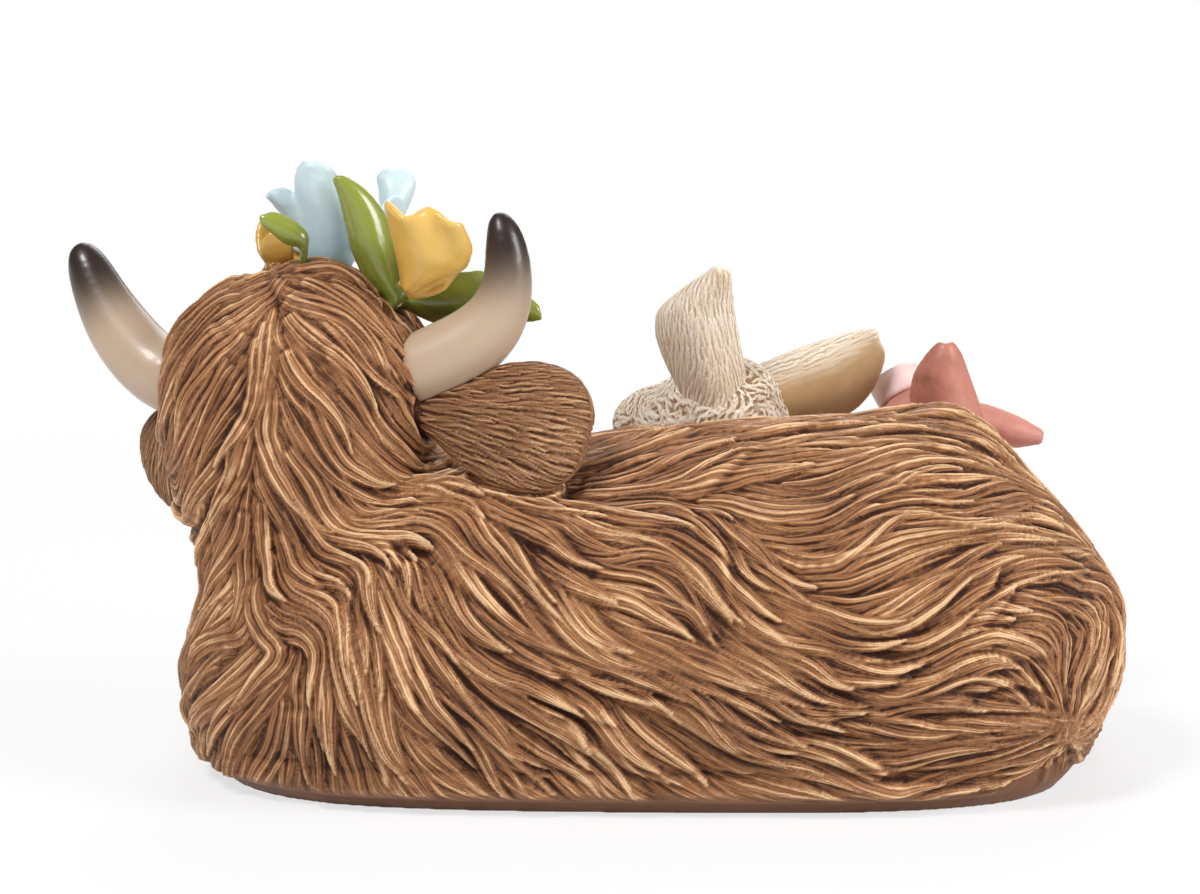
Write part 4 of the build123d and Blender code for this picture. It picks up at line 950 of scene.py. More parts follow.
# %% [markdown]
# ## Hand paint and varnish
#
# The smooth pieces are painted with a brush: one colour, a second that is shaded into it where a mask
# says so, and faint blotches from the uneven paint. The horns, petals, leaves and skins all use this
# group, each with its own two colours.

# %% Node group for hand paint
hand_paint, paint_in, paint_out = new_group(
    "hand_paint",
    [("Paint", COLOUR), ("Shade", COLOUR), ("Mask", VALUE), ("Blotches", VALUE)],
    [("Color", COLOUR), ("Height", VALUE)],
)
cloud = noise(hand_paint, 120.0, 4.0, 0.6)
speck = noise(hand_paint, 900.0, 2.0, 0.5)
uneven = maths(hand_paint, "SUBTRACT", cloud, 0.5)
mask = maths(hand_paint, "MULTIPLY_ADD", uneven, paint_in.outputs["Blotches"], paint_in.outputs["Mask"])
clean = ramped(hand_paint, mask, 0.0, 1.0)
hand_paint.links.new(
    mixed(hand_paint, clean, paint_in.outputs["Paint"], paint_in.outputs["Shade"]), paint_out.inputs["Color"]
)
hand_paint.links.new(maths(hand_paint, "MULTIPLY_ADD", speck, 0.4, cloud), paint_out.inputs["Height"])
PLAIN_MASK = 0.25
SPECK_DEEP = 0.4 * MM
GLOSS_SPREAD = 0.14
VARNISH_ROUGH = 0.12


def painted_material(name, paint, shade, mask=None, blotches=0.5, gloss=0.45, varnish=0.0, bump=0.2):
    """Smooth paint with a second colour where a mask, built in the material, says so."""
    material = bpy.data.materials.new(name)
    material.use_nodes = True
    tree = material.node_tree
    shader = tree.nodes["Principled BSDF"]
    brush = add(tree, "ShaderNodeGroup", node_tree=hand_paint)
    brush.inputs["Paint"].default_value = (*paint, 1)
    brush.inputs["Shade"].default_value = (*shade, 1)
    brush.inputs["Blotches"].default_value = blotches
    if mask:
        tree.links.new(mask(tree), brush.inputs["Mask"])
    else:
        brush.inputs["Mask"].default_value = PLAIN_MASK
    tree.links.new(brush.outputs["Color"], shader.inputs["Base Color"])
    height = brush.outputs["Height"]
    relief = add(tree, "ShaderNodeBump", {"Height": height, "Strength": bump, "Distance": SPECK_DEEP})
    tree.links.new(relief.outputs["Normal"], shader.inputs["Normal"])
    rough = maths(tree, "MULTIPLY_ADD", noise(tree, 70.0), GLOSS_SPREAD, gloss - GLOSS_SPREAD / 2)
    tree.links.new(rough, shader.inputs["Roughness"])
    shader.inputs["Coat Weight"].default_value = varnish
    shader.inputs["Coat Roughness"].default_value = VARNISH_ROUGH
    return material


print("paints are ready")

# %% [markdown]
# ## Horns
#
# The horns are smooth and varnished. Cream paint at the root is airbrushed into dark brown at the tip, so
# each point keeps how far along the horn it lies, and the material turns that into the blend.

# %% Horns
horn_paint = painted_material(
    "horn_paint",
    paint=(0.520, 0.385, 0.270),
    shade=(0.024, 0.012, 0.009),
    mask=lambda tree: ramped(tree, kept(tree, "along"), 0.34, 0.92),
    blotches=0.12,
    gloss=0.38,
    varnish=0.2,
    bump=0.12,
)
HORN_SWELL_MM = 0.9
HORN_VOXEL_MM = 0.7
HORN_TIPS_MM = {"horn_right": (-19.6, -23.0, 124.1), "horn_left": (-114.7, 9.6, 114.3)}
for name, tip in HORN_TIPS_MM.items():
    mesh, _ = skin_of([name], HORN_VOXEL_MM, 6)
    points = read_points(mesh)
    far = np.linalg.norm(points - np.array(tip), axis=1)
    write_points(mesh, points + read_normals(mesh) * HORN_SWELL_MM)
    store(mesh, "along", 1 - far / far.max())
    finished(name, mesh, horn_paint, "horn", name)
print("horns made")

# %% [markdown]
# ## Petals and leaves
#
# Petals and leaves are thin sheets that the maker cut from clay and pinched. A sheet is drawn here as a
# function of two shares, from one edge to the other and from foot to tip, then thickened and rounded by
# the solidify and subdivision modifiers. Sheets that the camera sees take their two edges from the
# photograph, and the foot of such a leaf runs on into the head.

# %% Helpers for sheets


def sheet(shape, rows, columns, thick):
    """Closed sheet from a function that gives a place for two shares."""
    across = np.linspace(-1, 1, columns + 1)
    along = np.linspace(0, 1, rows + 1)
    places = [tuple(shape(u, v) * MM) for v in along for u in across]
    wide = columns + 1
    corners = [row * wide + column for row in range(rows) for column in range(columns)]
    faces = [(corner, corner + 1, corner + wide + 1, corner + wide) for corner in corners]
    mesh = bpy.data.meshes.new("sheet")
    mesh.from_pydata(places, [], faces)
    mesh = modified(mesh, "SOLIDIFY", thickness=thick * MM, offset=0)
    return modified(mesh, "SUBSURF", levels=2, render_levels=2)


def depth_of(node):
    """Middle of a piece of the frame, along the line of sight, in millimetres."""
    low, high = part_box(node)
    return (low[1] + high[1]) / 2 / MM


ROOT_DEEP_MM = 3.0
ROOT_SHARE = 0.6
RUFFLE_TURN, RUFFLE_START, RUFFLE_UP_SHARE = 1.7 * math.pi, 0.6, 0.9
CURL_TIP_SHARE, CURL_FALL = 0.2, 1.6


def drawn(rows, depth, bulge, thick, lean=0.0, ruffle=0.0, carrier=None):
    """Curled sheet whose two edges are drawn on the photograph, at some depth, from its foot to its tip.

    The foot runs on into the piece that carries the sheet, when one is named.
    """
    stands = np.array(camera.location) / MM
    places = []
    for pair in rows:
        for across, down in pair:
            ray = np.array(ray_through(across, down))
            places.append(stands + ray * (depth - stands[1]) / ray[1])
    pairs = np.array(places).reshape(-1, 2, 3)
    if carrier:
        foot = pairs[0].mean(0)
        spot, normal = skin_tree_of(nodes[carrier].data).find_nearest(Vector(foot) * MM)[:2]
        root = np.array(spot) / MM - np.array(normal) * ROOT_DEEP_MM
        half = (pairs[0, 1] - pairs[0, 0]) / 2 * ROOT_SHARE
        pairs = np.concatenate(([[root - half, root + half]], pairs))
    marks = np.linspace(0, 1, len(pairs))

    def edge(v, hand):
        return np.array([np.interp(v, marks, pairs[:, hand, k]) for k in range(3)])

    def shape(u, v):
        first, second = edge(v, 0), edge(v, 1)
        wave = ruffle * v * v * math.sin(RUFFLE_TURN * u + RUFFLE_START)
        curl = bulge * (u * u - 0.5) * min(1.0, CURL_FALL * (1 - v) + CURL_TIP_SHARE)
        back = curl + lean * (v - 0.5) + wave
        return (first + second) / 2 + (second - first) / 2 * u + np.array((0, back, RUFFLE_UP_SHARE * wave))

    return sheet(shape, 14, 10, thick)


def merged(meshes):
    """One mesh of several."""
    gathered = bmesh.new()
    for mesh in meshes:
        gathered.from_mesh(mesh)
        bpy.data.meshes.remove(mesh)
    mesh = bpy.data.meshes.new("merged")
    gathered.to_mesh(mesh)
    gathered.free()
    return mesh


def unit(vector):
    """Direction of a vector."""
    return np.array(vector, float) / np.linalg.norm(vector)


PETAL_FOOT_SHARE, PETAL_SWELL = 0.34, 1.5
PETAL_CUP, PETAL_CUP_OPENS = 0.22, 0.4
PETAL_OUT, PETAL_UP = 1.8, 0.28
PETAL_WAVES = 2.3 * math.pi
WAVE_OUT_SHARE, WAVE_UP_SHARE = 0.4, 0.8


def petal(origin, look, turn, reach, rise, width, ruffle, thick=1.7):
    """Petal of a cup that opens along a direction."""
    axis = unit(look)
    first = unit(np.cross(HEAD_SIDE, axis))
    second = np.cross(axis, first)
    out = first * math.cos(math.radians(turn)) + second * math.sin(math.radians(turn))
    side = np.cross(axis, out)

    def shape(u, v):
        v = 0.02 + 0.96 * v
        rounded = (1 - max(0.0, (v - 0.5) / 0.5) ** 4) ** 0.5
        half = width / 2 * min(1.0, PETAL_FOOT_SHARE + PETAL_SWELL * v) * rounded
        wave = ruffle * v * v * math.sin(PETAL_WAVES * u + turn)
        inward = PETAL_CUP * u * u * half * (1 - PETAL_CUP_OPENS * v)
        outward = reach * (PETAL_OUT * v + (1 - PETAL_OUT) * v * v) - inward + WAVE_OUT_SHARE * wave
        upward = rise * (PETAL_UP * v + (1 - PETAL_UP) * v * v) + WAVE_UP_SHARE * wave
        return origin + out * outward + side * u * half + axis * upward

    return sheet(shape, 9, 8, thick)


print("helpers for sheets are ready")

# %% [markdown]
# ## Flowers
#
# Each flower is a cup of petals, and two of the three stand on a small ball. The petals that the camera
# sees are drawn on the photograph, and the rest stand in a ring. One skin then fuses them, as the maker's
# thumb does, and the paint turns paler from the foot of the cup to its edge.

# %% Flowers
blue_paint = painted_material(
    "blue_paint",
    paint=(0.600, 0.740, 0.780),
    shade=(0.400, 0.580, 0.680),
    mask=lambda tree: maths(tree, "MULTIPLY_ADD", kept(tree, "reach"), -0.9, 0.75),
    blotches=0.9,
    gloss=0.42,
    varnish=0.15,
    bump=0.25,
)
yellow_paint = painted_material(
    "yellow_paint",
    paint=(0.740, 0.460, 0.100),
    shade=(0.480, 0.230, 0.032),
    mask=lambda tree: maths(tree, "MULTIPLY_ADD", kept(tree, "reach"), -0.75, 0.62),
    blotches=0.9,
    gloss=0.34,
    varnish=0.3,
    bump=0.25,
)
# Petals that face the camera, each as pairs of edge points on the photograph from foot to tip
DRAWN_PETALS = {
    "blue_flower": (
        (
            ((304, 266), (352, 268)), ((301, 240), (354, 240)), ((299, 212), (350, 212)),
            ((294, 183), (340, 183)), ((298, 169), (334, 168)), ((308, 160), (322, 160)),
        ),
        (
            ((299, 240), (322, 226)), ((283, 216), (303, 197)), ((271, 200), (285, 188)),
            ((266, 194), (273, 190)),
        ),
        (
            ((384, 224), (402, 216)), ((380, 192), (411, 200)), ((376, 177), (416, 184)),
            ((388, 171), (409, 170)),
        ),
    ),
    "yellow_flower_right": (
        (
            ((403, 294), (408, 293)), ((399, 272), (440, 279)), ((393, 248), (467, 267)),
            ((388, 226), (475, 246)), ((384, 204), (462, 214)),
        ),
        (
            ((386, 222), (404, 214)), ((377, 198), (400, 198)), ((370, 184), (394, 183)),
            ((378, 180), (388, 179)),
        ),
    ),
    "yellow_flower_left": ((((262, 226), (284, 214)), ((255, 209), (275, 200)), ((256, 199), (268, 196))),),
}
# Each flower: shares of its place on the skull, direction that it opens in, radius, depth and petal width
# in millimetres, paint and slot. Each petal of its ring: degrees around it, then shares of those sizes
FLOWERS = {
    "blue_flower": (
        (0.13, 0.45, 0.89), (0.05, 0.34, 0.94), 17.5, 16.0, 15.0, blue_paint, "blue_petal",
        ((96, 0.8, 0.9, 1.0), (156, 1.0, 0.95, 1.0), (228, 0.95, 0.9, 1.0)),
    ),
    "yellow_flower_right": (
        (0.83, 0.00, 0.70), (0.30, -0.30, 0.90), 11.0, 18.0, 15.0, yellow_paint, "yellow_petal",
        ((140, 0.9, 0.9, 1.0),),
    ),
    "yellow_flower_left": (
        (-0.32, 0.46, 0.80), (0.10, 0.10, 0.98), 8.5, 13.5, 9.0, yellow_paint, "yellow_petal",
        ((12, 0.7, 0.6, 0.9), (156, 1.0, 1.0, 1.0), (228, 0.8, 0.9, 1.0)),
    ),
}
# For each drawn petal: its depth, its curl, its lean to the camera and its ruffle, in millimetres
PETAL_SETS_MM = {
    "blue_flower": ((-7.0, 5.0, -7.0, 0.6), (-4.0, 3.0, -3.0, 0.3), (6.0, 3.0, 4.0, 0.4)),
    "yellow_flower_right": ((-25.0, 6.0, -9.0, 1.7), (-17.0, -3.0, 3.0, 0.5)),
    "yellow_flower_left": ((4.0, 2.0, 0.0, 0.3),),
}
RING_RUFFLE_MM = 0.5
PETAL_THICK_MM = 1.9
PETAL_VOXEL_MM = 0.55
CALYX_MM = 4.0
CALYX_SUNK_MM = 1.8
CALYX_FLOWERS = ("blue_flower", "yellow_flower_left")


def ball(centre, radius):
    """Small ball."""
    work = bmesh.new()
    bmesh.ops.create_uvsphere(work, u_segments=24, v_segments=16, radius=radius * MM)
    bmesh.ops.translate(work, verts=work.verts, vec=Vector(centre) * MM)
    mesh = bpy.data.meshes.new("ball")
    work.to_mesh(mesh)
    work.free()
    return mesh


for name, (place, look, radius, depth, width, paint, slot, petals) in FLOWERS.items():
    origin = head_place(*place)
    made = [ball(origin - unit(look) * CALYX_SUNK_MM, CALYX_MM)] if name in CALYX_FLOWERS else []
    made += [
        petal(origin, look, turn, radius * reach, depth * rise, width * broad, RING_RUFFLE_MM)
        for turn, reach, rise, broad in petals
    ]
    made += [
        drawn(rows, sight, curl, PETAL_THICK_MM, lean, ruffle)
        for rows, (sight, curl, lean, ruffle) in zip(DRAWN_PETALS[name], PETAL_SETS_MM[name])
    ]
    mesh, _ = skin_from(merged(made), PETAL_VOXEL_MM, 4)
    store(mesh, "reach", np.clip((read_points(mesh) - origin) @ unit(look) / depth, 0, 1))
    finished(name, mesh, paint, slot, name)
print("flowers made:", len(FLOWERS))

# %% [markdown]
# ## Leaves
#
# The leaves are almond sheets, curled at the edges, and the two on the far side have a groove along the
# midrib. Their paint is a yellow-green that is darker near the foot, under a glossy varnish.

# %% Leaves
LEAF_BOWL_MM = 1.6
LEAF_BEND_MM = 1.8
LEAF_RAISE_MM = 1.0
MIDRIB_MM, MIDRIB_SHARE = 0.7, 0.18
VEIN_MM, VEIN_COUNT, VEIN_SLANT = 0.22, 4.5, 1.2


def leaf(place, tip, look, length, width, thick=1.3):
    """Leaf from its foot, the direction to its tip and the direction that its face looks in."""
    run = unit(tip)
    face = unit(np.cross(np.cross(run, look), run))
    side = np.cross(face, run)
    foot = head_place(*place)

    def shape(u, v):
        half = width / 2 * max(math.sin(math.pi * min(0.03 + 0.95 * v, 1)) ** 0.75, 0.05)
        bowl = LEAF_BOWL_MM * u * u - MIDRIB_MM * math.exp(-((u / MIDRIB_SHARE) ** 2))
        veins = VEIN_MM * math.sin(2 * math.pi * (VEIN_COUNT * v - VEIN_SLANT * abs(u))) * abs(u)
        bend = LEAF_BEND_MM * math.sin(math.pi * v)
        return foot + run * length * v + side * u * half + face * (bowl + veins - bend + LEAF_RAISE_MM)

    return sheet(shape, 14, 8, thick)


leaf_paint = painted_material(
    "leaf_paint",
    paint=(0.270, 0.310, 0.045),
    shade=(0.120, 0.150, 0.018),
    mask=lambda tree: maths(tree, "MULTIPLY_ADD", kept(tree, "reach"), -0.8, 0.75),
    blotches=1.0,
    gloss=0.26,
    varnish=0.5,
    bump=0.2,
)
LEAF_LONG_MM = 28.0
LEAF_WIDE_MM = 12.5
LEAF_LIFT_MM = 1.0
LEAF_CURL_MM = 4.0
LEAF_THICK_MM = 1.6
LEAF_LEAN_MM = -2.0
LEAF_VOXEL_MM = 0.45
# Each leaf: shares of its foot's place on the skull, direction of its tip, of its face, share of full size
LEAVES = {
    "leaf_1": ((0.63, 0.37, 0.58), (-0.41, -0.20, 0.88), (-0.2, -0.95, 0.1), 1.14),
    "leaf_2": ((0.80, 0.26, 0.42), (0.95, 0.30, -0.02), (0.2, -0.90, 0.4), 1.00),
    "leaf_3": ((0.13, -0.06, 0.99), (-0.83, -0.02, 0.55), (-0.3, -0.8, 0.5), 0.50),
    "leaf_4": ((0.44, 0.62, 0.62), (0.60, 0.76, 0.24), (-0.1, 0.2, 0.95), 0.85),
    "leaf_5": ((-0.66, 0.56, 0.34), (-0.50, 0.85, -0.05), (-0.2, 0.2, 0.95), 0.85),
}
DRAWN_LEAVES = {
    "leaf_1": (
        ((388, 304), (409, 297)), ((364, 280), (403, 274)), ((350, 248), (395, 244)),
        ((343, 213), (384, 212)), ((337, 188), (364, 188)), ((333, 176), (339, 174)),
    ),
    "leaf_2": (
        ((398, 291), (402, 306)), ((427, 282), (422, 319)), ((460, 272), (460, 333)),
        ((488, 270), (492, 330)), ((516, 286), (520, 322)), ((541, 308), (544, 319)),
    ),
    "leaf_3": (
        ((307, 233), (303, 247)), ((290, 219), (286, 244)), ((274, 211), (272, 233)),
        ((258, 217), (261, 222)),
    ),
}
for name, (place, tip, look, share) in LEAVES.items():
    if name in DRAWN_LEAVES:
        rows, curl = DRAWN_LEAVES[name], LEAF_CURL_MM * share
        mesh = drawn(rows, depth_of(name), curl, LEAF_THICK_MM, LEAF_LEAN_MM, carrier="head")
    else:
        mesh = leaf(place, tip, look, LEAF_LONG_MM * share, LEAF_WIDE_MM * share)
        write_points(mesh, read_points(mesh) + unit(look) * LEAF_LIFT_MM)
    foot = head_place(*place)
    mesh, _ = skin_from(mesh, LEAF_VOXEL_MM, 4)
    far = np.linalg.norm(read_points(mesh) - foot, axis=1)
    store(mesh, "reach", far / far.max())
    finished(name, mesh, leaf_paint, "leaf", name)
print("leaves made:", len(LEAVES))

# %% [markdown]
# ## The lamb
#
# The lamb's fleece is short and tangled, so its lie wanders instead of following strokes. The ears are
# brushed along their length, and their hollow inner faces stay smooth, painted tan-brown: partly a brown
# wash, partly painted shade.

# %% Fleece and ears of the lamb
WOOL_FALL, WOOL_SWAY = 0.75, 0.7


def tangled(points):
    """Lie that falls and wanders, as in short wool."""
    x, y, z = points.T
    across = np.sin(0.33 * y + 0.4 * z)
    deep = np.sin(0.31 * z + 0.5 * x + 1.3)
    upward = WOOL_SWAY * np.sin(0.37 * x + 0.3 * y) - WOOL_FALL
    return np.stack((across, deep, upward), 1)


lamb_wool = fur_material(
    "lamb_wool",
    wash=(0.300, 0.170, 0.080),
    coat=(0.800, 0.680, 0.540),
    dry_brush=(0.950, 0.900, 0.830),
    hairline=3.0,
    bump=0.3,
)
# Hollow faces of the lamb's ears take the rim colour, tan-brown: partly a brown wash, partly painted shade
lamb_ear_hair = fur_material(
    "lamb_ear_hair",
    wash=(0.560, 0.400, 0.250),
    coat=(0.860, 0.740, 0.590),
    dry_brush=(0.960, 0.920, 0.860),
    hairline=3.0,
    rim=(0.600, 0.380, 0.190),
    bump=0.2,
)
WOOL_STROKES = dict(
    seed=21, spacing=1.1, length=(4, 8), width=(0.7, 1.3), height=0.5, sway=0.4, strand=0.9, groove=0.1
)
FLEECE_VOXEL_MM = 0.85
LAMB_LEG_VOXEL_MM = 0.7
combed_piece(
    "lamb_fleece", ["lamb_body", "lamb_head"], FLEECE_VOXEL_MM, tangled, WOOL_STROKES, lamb_wool, "wool",
    extra=["small_neck_pins"],
)
combed_piece(
    "lamb_forelegs", ["lamb_forelegs"], LAMB_LEG_VOXEL_MM, tangled, WOOL_STROKES, lamb_wool, "wool", rounds=4
)
# Each row: the two edges of the ear on the photograph, from its foot to its tip
NEAR_EAR_ROWS = (
    ((692, 425), (742, 420)), ((684, 395), (746, 392)), ((668, 365), (743, 364)), ((657, 335), (737, 336)),
    ((658, 312), (732, 308)), ((684, 292), (729, 286)), ((708, 276), (726, 274)), ((721, 267), (723, 266)),
)
FAR_EAR_ROWS = (
    ((742, 376), (768, 426)), ((770, 363), (792, 427)), ((802, 350), (824, 423)), ((838, 338), (856, 410)),
    ((864, 331), (874, 384)), ((878, 331), (882, 350)),
)
LAMB_EAR_STROKES = dict(
    seed=9, spacing=1.1, length=(4, 8), width=(0.7, 1.2), height=0.17, sway=0.15, strand=0.8, groove=0.05
)
LAMB_EAR_VOXEL_MM = 0.55
LAMB_EAR_THICK_MM = 3.4
LAMB_EAR_SPREAD = 0.05
HOLLOW_SLOPE, HOLLOW_FROM = 2, 0.4
# Each ear: direction of its tip, of its hollow face, its rows, and its curl and lean in millimetres
LAMB_EARS = {
    "lamb_ear_left": ((0.06, -0.45, 0.88), (0.1, 1.0, 0.1), NEAR_EAR_ROWS, 7.0, -8.0),
    "lamb_ear_right": ((0.93, -0.12, 0.36), (0.3, -0.8, -0.5), FAR_EAR_ROWS, 6.0, 0.0),
}


def facing(look):
    """Function that says how much of each point belongs to the face that looks in a direction."""
    return lambda points, normals: np.clip(normals @ look * HOLLOW_SLOPE - HOLLOW_FROM, 0, 1)


for name, (tip, inner, rows, curl, lean) in LAMB_EARS.items():
    run = unit(tip)
    look = unit(np.cross(np.cross(run, inner), run))
    low, high = box_mm(name)
    lie = fanned((low + high) / 2, run, LAMB_EAR_SPREAD)
    lobe = drawn(rows, depth_of(name), curl, LAMB_EAR_THICK_MM, lean)
    combed_piece(
        name, [name], LAMB_EAR_VOXEL_MM, lie, LAMB_EAR_STROKES, lamb_ear_hair, "wool", rounds=4,
        bare=facing(look), start=lobe,
    )

# %% [markdown]
# ## The piglet
#
# The piglet is smooth: pink, with a darker wash that stays in faint blotches. Its ears are drawn on the
# photograph as the leaves are, and their feet run on into its head.
# The centre ear takes a darker copy of that pink: painted shade in its hollow.

# %% Skin, ears and snout of the piglet
pig_paint = painted_material(
    "pig_paint", paint=(0.620, 0.265, 0.205), shade=(0.260, 0.080, 0.050), blotches=1.2, gloss=0.5, bump=0.3
)
snout_paint = painted_material(
    "snout_paint",
    paint=(0.900, 0.680, 0.650),
    shade=(0.600, 0.320, 0.270),
    blotches=0.8,
    gloss=0.45,
    bump=0.25,
)
# Each piece: nodes that it replaces, nodes that only fill it, paint, slot and voxel in millimetres
PIG_PIECES = (
    ("piglet_skin", ["piglet_body", "piglet_head"], ["small_neck_pins"], pig_paint, "pig_skin", 0.9),
    ("piglet_forelegs", ["piglet_forelegs"], [], pig_paint, "pig_skin", 0.7),
    ("piglet_snout", ["piglet_snout"], [], snout_paint, "snout", 0.5),
)
for name, replaced, extra, paint, slot, voxel in PIG_PIECES:
    mesh, _ = skin_of([*replaced, *extra], voxel, 8)
    finished(name, mesh, paint, slot, *replaced)
# Darker copy of the piglet's pink for the centre ear: painted shade in the hollow of that ear
pig_ear_shaded_paint = painted_material(
    "pig_ear_shaded_paint", paint=(0.560, 0.215, 0.155), shade=(0.230, 0.062, 0.036), blotches=1.6, gloss=0.42, bump=0.25
)
CENTRE_EAR_ROWS = (
    ((918, 440), (986, 432)), ((914, 418), (981, 412)), ((911, 396), (974, 392)), ((916, 374), (967, 374)),
    ((929, 356), (960, 357)), ((938, 348), (953, 348)), ((944, 344), (947, 344)),
)
RIGHT_EAR_ROWS = (
    ((976, 404), (990, 448)), ((996, 411), (1004, 444)), ((1016, 419), (1017, 445)),
    ((1030, 427), (1030, 442)), ((1043, 436), (1043, 439)),
)
PIG_EAR_THICK_MM = 3.0
PIG_EAR_VOXEL_MM = 0.45
# Each ear: its rows, its curl in millimetres and its paint
PIG_EARS = {
    "piglet_ear_left": (CENTRE_EAR_ROWS, 5.0, pig_ear_shaded_paint),
    "piglet_ear_right": (RIGHT_EAR_ROWS, 4.0, pig_paint),
}
for name, (rows, curl, paint) in PIG_EARS.items():
    lobe = drawn(rows, depth_of(name), curl, PIG_EAR_THICK_MM, carrier="piglet_head")
    mesh, _ = skin_from(lobe, PIG_EAR_VOXEL_MM, 6)
    finished(name, mesh, paint, "pig_skin", name)
print("piglet made")

# %% [markdown]
# ## Small pieces
#
# The muzzle is softened, dented for the nostrils and the mouth, and painted like skin. The two yellow
# flower centres rise with their petals. Eyes, hooves, trotters, the blue flower's centre, dowels and the
# plug keep their solid shapes and only get their paint.

# %% Muzzle and the painted solids
nose_paint = painted_material(
    "nose_paint",
    paint=(0.420, 0.235, 0.165),
    shade=(0.090, 0.038, 0.026),
    mask=lambda tree: maths(tree, "MULTIPLY_ADD", kept(tree, "reach"), 0.9, 0.15),
    blotches=0.7,
    gloss=0.4,
    bump=0.3,
)
# Shares run over the muzzle's box: across, towards its front, and up
NOSTRIL_SHARES = ((-0.20, 0.5, 0.14), (0.20, 0.5, 0.14))
NOSTRIL_MM = (2.6, 4.0, 2.0)
NOSTRIL_DEEP_MM = 1.8
MOUTH_SHARE = -0.20
MOUTH_CURVE_SHARE = 0.9
MOUTH_FRONT_SHARE = 0.15
MOUTH_HALF_SHARE, MOUTH_FADE_SHARE = 0.34, 0.05
MOUTH_MM = 0.8
MOUTH_DEEP_MM = 0.8
MOUTH_PAINT_SHARE = 0.8
MUZZLE_VOXEL_MM = 0.6
mesh, _ = skin_of(["muzzle"], MUZZLE_VOXEL_MM, 8)
points = read_points(mesh)
low, high = box_mm("muzzle")
shares = (points - (low + high) / 2) / (high - low)
nostril = np.zeros(len(points))
for place in NOSTRIL_SHARES:
    mark = points[np.linalg.norm(shares - np.array(place), axis=1).argmin()]
    nostril = np.maximum(nostril, np.exp(-(((points - mark) / NOSTRIL_MM) ** 2).sum(1)))
lip = shares[:, 2] - MOUTH_SHARE - MOUTH_CURVE_SHARE * shares[:, 0] ** 2
mouth = np.exp(-((lip * (high - low)[2] / MOUTH_MM) ** 2))
in_front = np.clip(shares[:, 1] / MOUTH_FRONT_SHARE, 0, 1)
mouth *= in_front * np.clip((MOUTH_HALF_SHARE - np.abs(shares[:, 0])) / MOUTH_FADE_SHARE, 0, 1)
dent = NOSTRIL_DEEP_MM * nostril + MOUTH_DEEP_MM * mouth
write_points(mesh, points - read_normals(mesh) * dent[:, None])
store(mesh, "reach", np.maximum(nostril, MOUTH_PAINT_SHARE * mouth))
finished("muzzle", mesh, nose_paint, "nose", "muzzle")
eye_paint = painted_material(
    "eye_paint",
    paint=(0.020, 0.012, 0.008),
    shade=(0.004, 0.003, 0.003),
    blotches=0.6,
    gloss=0.12,
    varnish=1.0,
    bump=0.0,
)
hoof_paint = painted_material(
    "hoof_paint", paint=(0.105, 0.062, 0.040), shade=(0.030, 0.018, 0.012), blotches=1.0, gloss=0.45, bump=0.4
)
centre_paint = painted_material(
    "centre_paint",
    paint=(0.520, 0.320, 0.060),
    shade=(0.230, 0.110, 0.018),
    blotches=1.2,
    gloss=0.5,
    bump=0.6,
)
DOME_LIFT_MM = 7.0
DOME_NEAR_MM = 15
mesh = joined_copy(["yellow_flower_centres"])
places = read_points(mesh)
for name in ("yellow_flower_right", "yellow_flower_left"):
    place, look = FLOWERS[name][:2]
    near = np.linalg.norm(places - head_place(*place), axis=1) < DOME_NEAR_MM
    places[near] += unit(look) * DOME_LIFT_MM
write_points(mesh, places)
finished("yellow_flower_domes", mesh, centre_paint, "flower_centre", "yellow_flower_centres")
plug_paint = painted_material(
    "plug_paint", paint=(0.500, 0.440, 0.360), shade=(0.330, 0.270, 0.200), blotches=0.8, gloss=0.7, bump=0.4
)
dowel_wood = painted_material(
    "dowel_wood", paint=(0.600, 0.430, 0.250), shade=(0.420, 0.270, 0.130), blotches=1.0, gloss=0.65, bump=0.3
)
for paint, names in (
    (eye_paint, ("eyes", "lamb_eyes", "piglet_eyes")),
    (hoof_paint, ("fore_hooves", "hind_hoof", "lamb_hooves", "piglet_trotters")),
    (centre_paint, ("blue_flower_centre",)),
    (plug_paint, ("pour_plug",)),
    (dowel_wood, ("neck_pin", "horn_pins", "small_neck_pins")),
):
    for name in names:
        nodes[name].data.materials.clear()
        nodes[name].data.materials.append(paint)
print("painted solids are done")

# %% [markdown]
# ## Light and floor
#
# The photograph is lit by large soft lamps on a white sweep. The key lamp stands high on the left, a
# second one lower on the right, a broad one on the far side, where the faces are, and a pale world fills
# the rest. To the camera the floor glows white, and only near the cow does it keep a part of its shadow.

# %% Lamps, world and floor


def softbox(name, place, target, size, power):
    """Square lamp that looks at a target."""
    data = bpy.data.lights.new(name, "AREA")
    data.size = size
    data.energy = power
    lamp = bpy.data.objects.new(name, data)
    lamp.location = place
    lamp.rotation_euler = (Vector(target) - Vector(place)).to_track_quat("-Z", "Y").to_euler()
    scene.collection.objects.link(lamp)
    return lamp


TARGET = (0.0, 0.0, 0.06)
# Each lamp: its place and its width in metres, and its power in watts
LAMPS = {
    "key": ((-0.50, -0.60, 1.00), 0.35, 10.5),
    "fill": ((0.95, -0.45, 0.55), 0.5, 9.5),
    "front": ((0.1, 0.95, 0.8), 0.8, 6.5),
}
for name, (place, wide, power) in LAMPS.items():
    softbox(name, place, TARGET, wide, power)

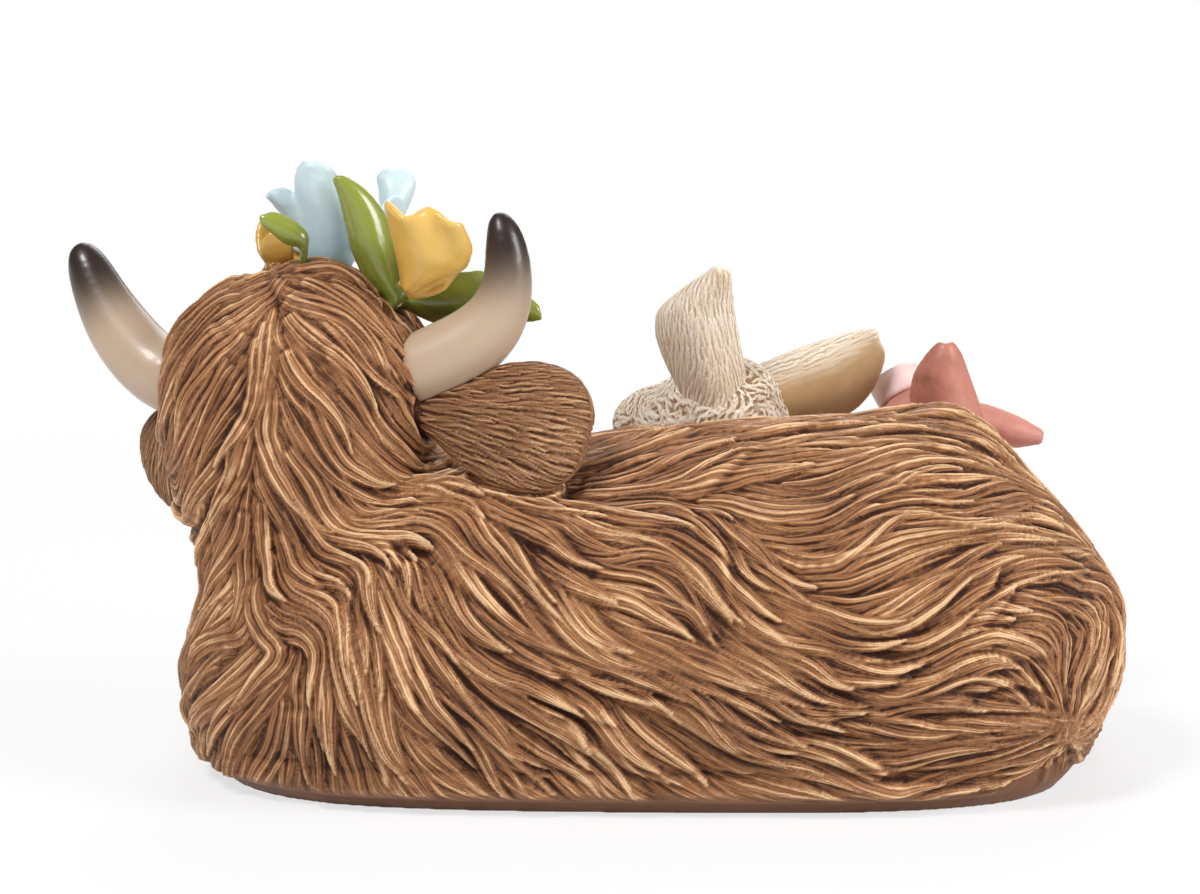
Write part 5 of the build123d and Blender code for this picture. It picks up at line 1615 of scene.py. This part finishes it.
WORLD_LIGHT = 0.23
world = bpy.data.worlds.new("studio")
world.use_nodes = True
sky = world.node_tree.nodes["Background"]
sky.inputs["Color"].default_value = (1, 1, 1, 1)
seen = add(world.node_tree, "ShaderNodeLightPath").outputs["Is Camera Ray"]
strength = maths(world.node_tree, "MULTIPLY_ADD", seen, 1.0 - WORLD_LIGHT, WORLD_LIGHT)
world.node_tree.links.new(strength, sky.inputs["Strength"])
scene.world = world
scene.view_settings.view_transform = "Standard"

FLOOR_REACH = 60.0
FLOOR_DROP = 0.0002
FLOOR_GREY = 0.86
SHADOW_NEAR, SHADOW_FAR = 0.16, 0.60
GLOW_NEAR = 0.70
floor_mesh = bpy.data.meshes.new("floor")
floor_corners = [(x * FLOOR_REACH, y * FLOOR_REACH, 0) for x, y in ((-1, -1), (1, -1), (1, 1), (-1, 1))]
floor_mesh.from_pydata(floor_corners, [], [(0, 1, 2, 3)])
floor = bpy.data.objects.new("floor", floor_mesh)
floor.location.z = -FLOOR_DROP
scene.collection.objects.link(floor)
floor_paint = bpy.data.materials.new("floor_paint")
floor_paint.use_nodes = True
tree = floor_paint.node_tree
plain = tree.nodes["Principled BSDF"]
plain.inputs["Base Color"].default_value = (FLOOR_GREY, FLOOR_GREY, FLOOR_GREY, 1)
plain.inputs["Roughness"].default_value = 0.9
path = add(tree, "ShaderNodeLightPath")
seen = maths(tree, "MAXIMUM", path.outputs["Is Camera Ray"], path.outputs["Is Glossy Ray"])
glow = add(tree, "ShaderNodeEmission", {"Color": (1, 1, 1, 1), "Strength": 1.0})
middle = add(tree, "ShaderNodeTexCoord").outputs["Object"]
apart = add(tree, "ShaderNodeVectorMath", {0: middle}, operation="LENGTH").outputs["Value"]
clear = add(tree, "ShaderNodeMapRange", {0: apart, 1: SHADOW_NEAR, 2: SHADOW_FAR, 3: GLOW_NEAR, 4: 1.0})
share = maths(tree, "MULTIPLY", seen, clear.outputs[0])
blend = add(tree, "ShaderNodeMixShader", {0: share, 1: plain.outputs[0], 2: glow.outputs[0]})
tree.links.new(blend.outputs[0], tree.nodes["Material Output"].inputs["Surface"])
floor.data.materials.append(floor_paint)
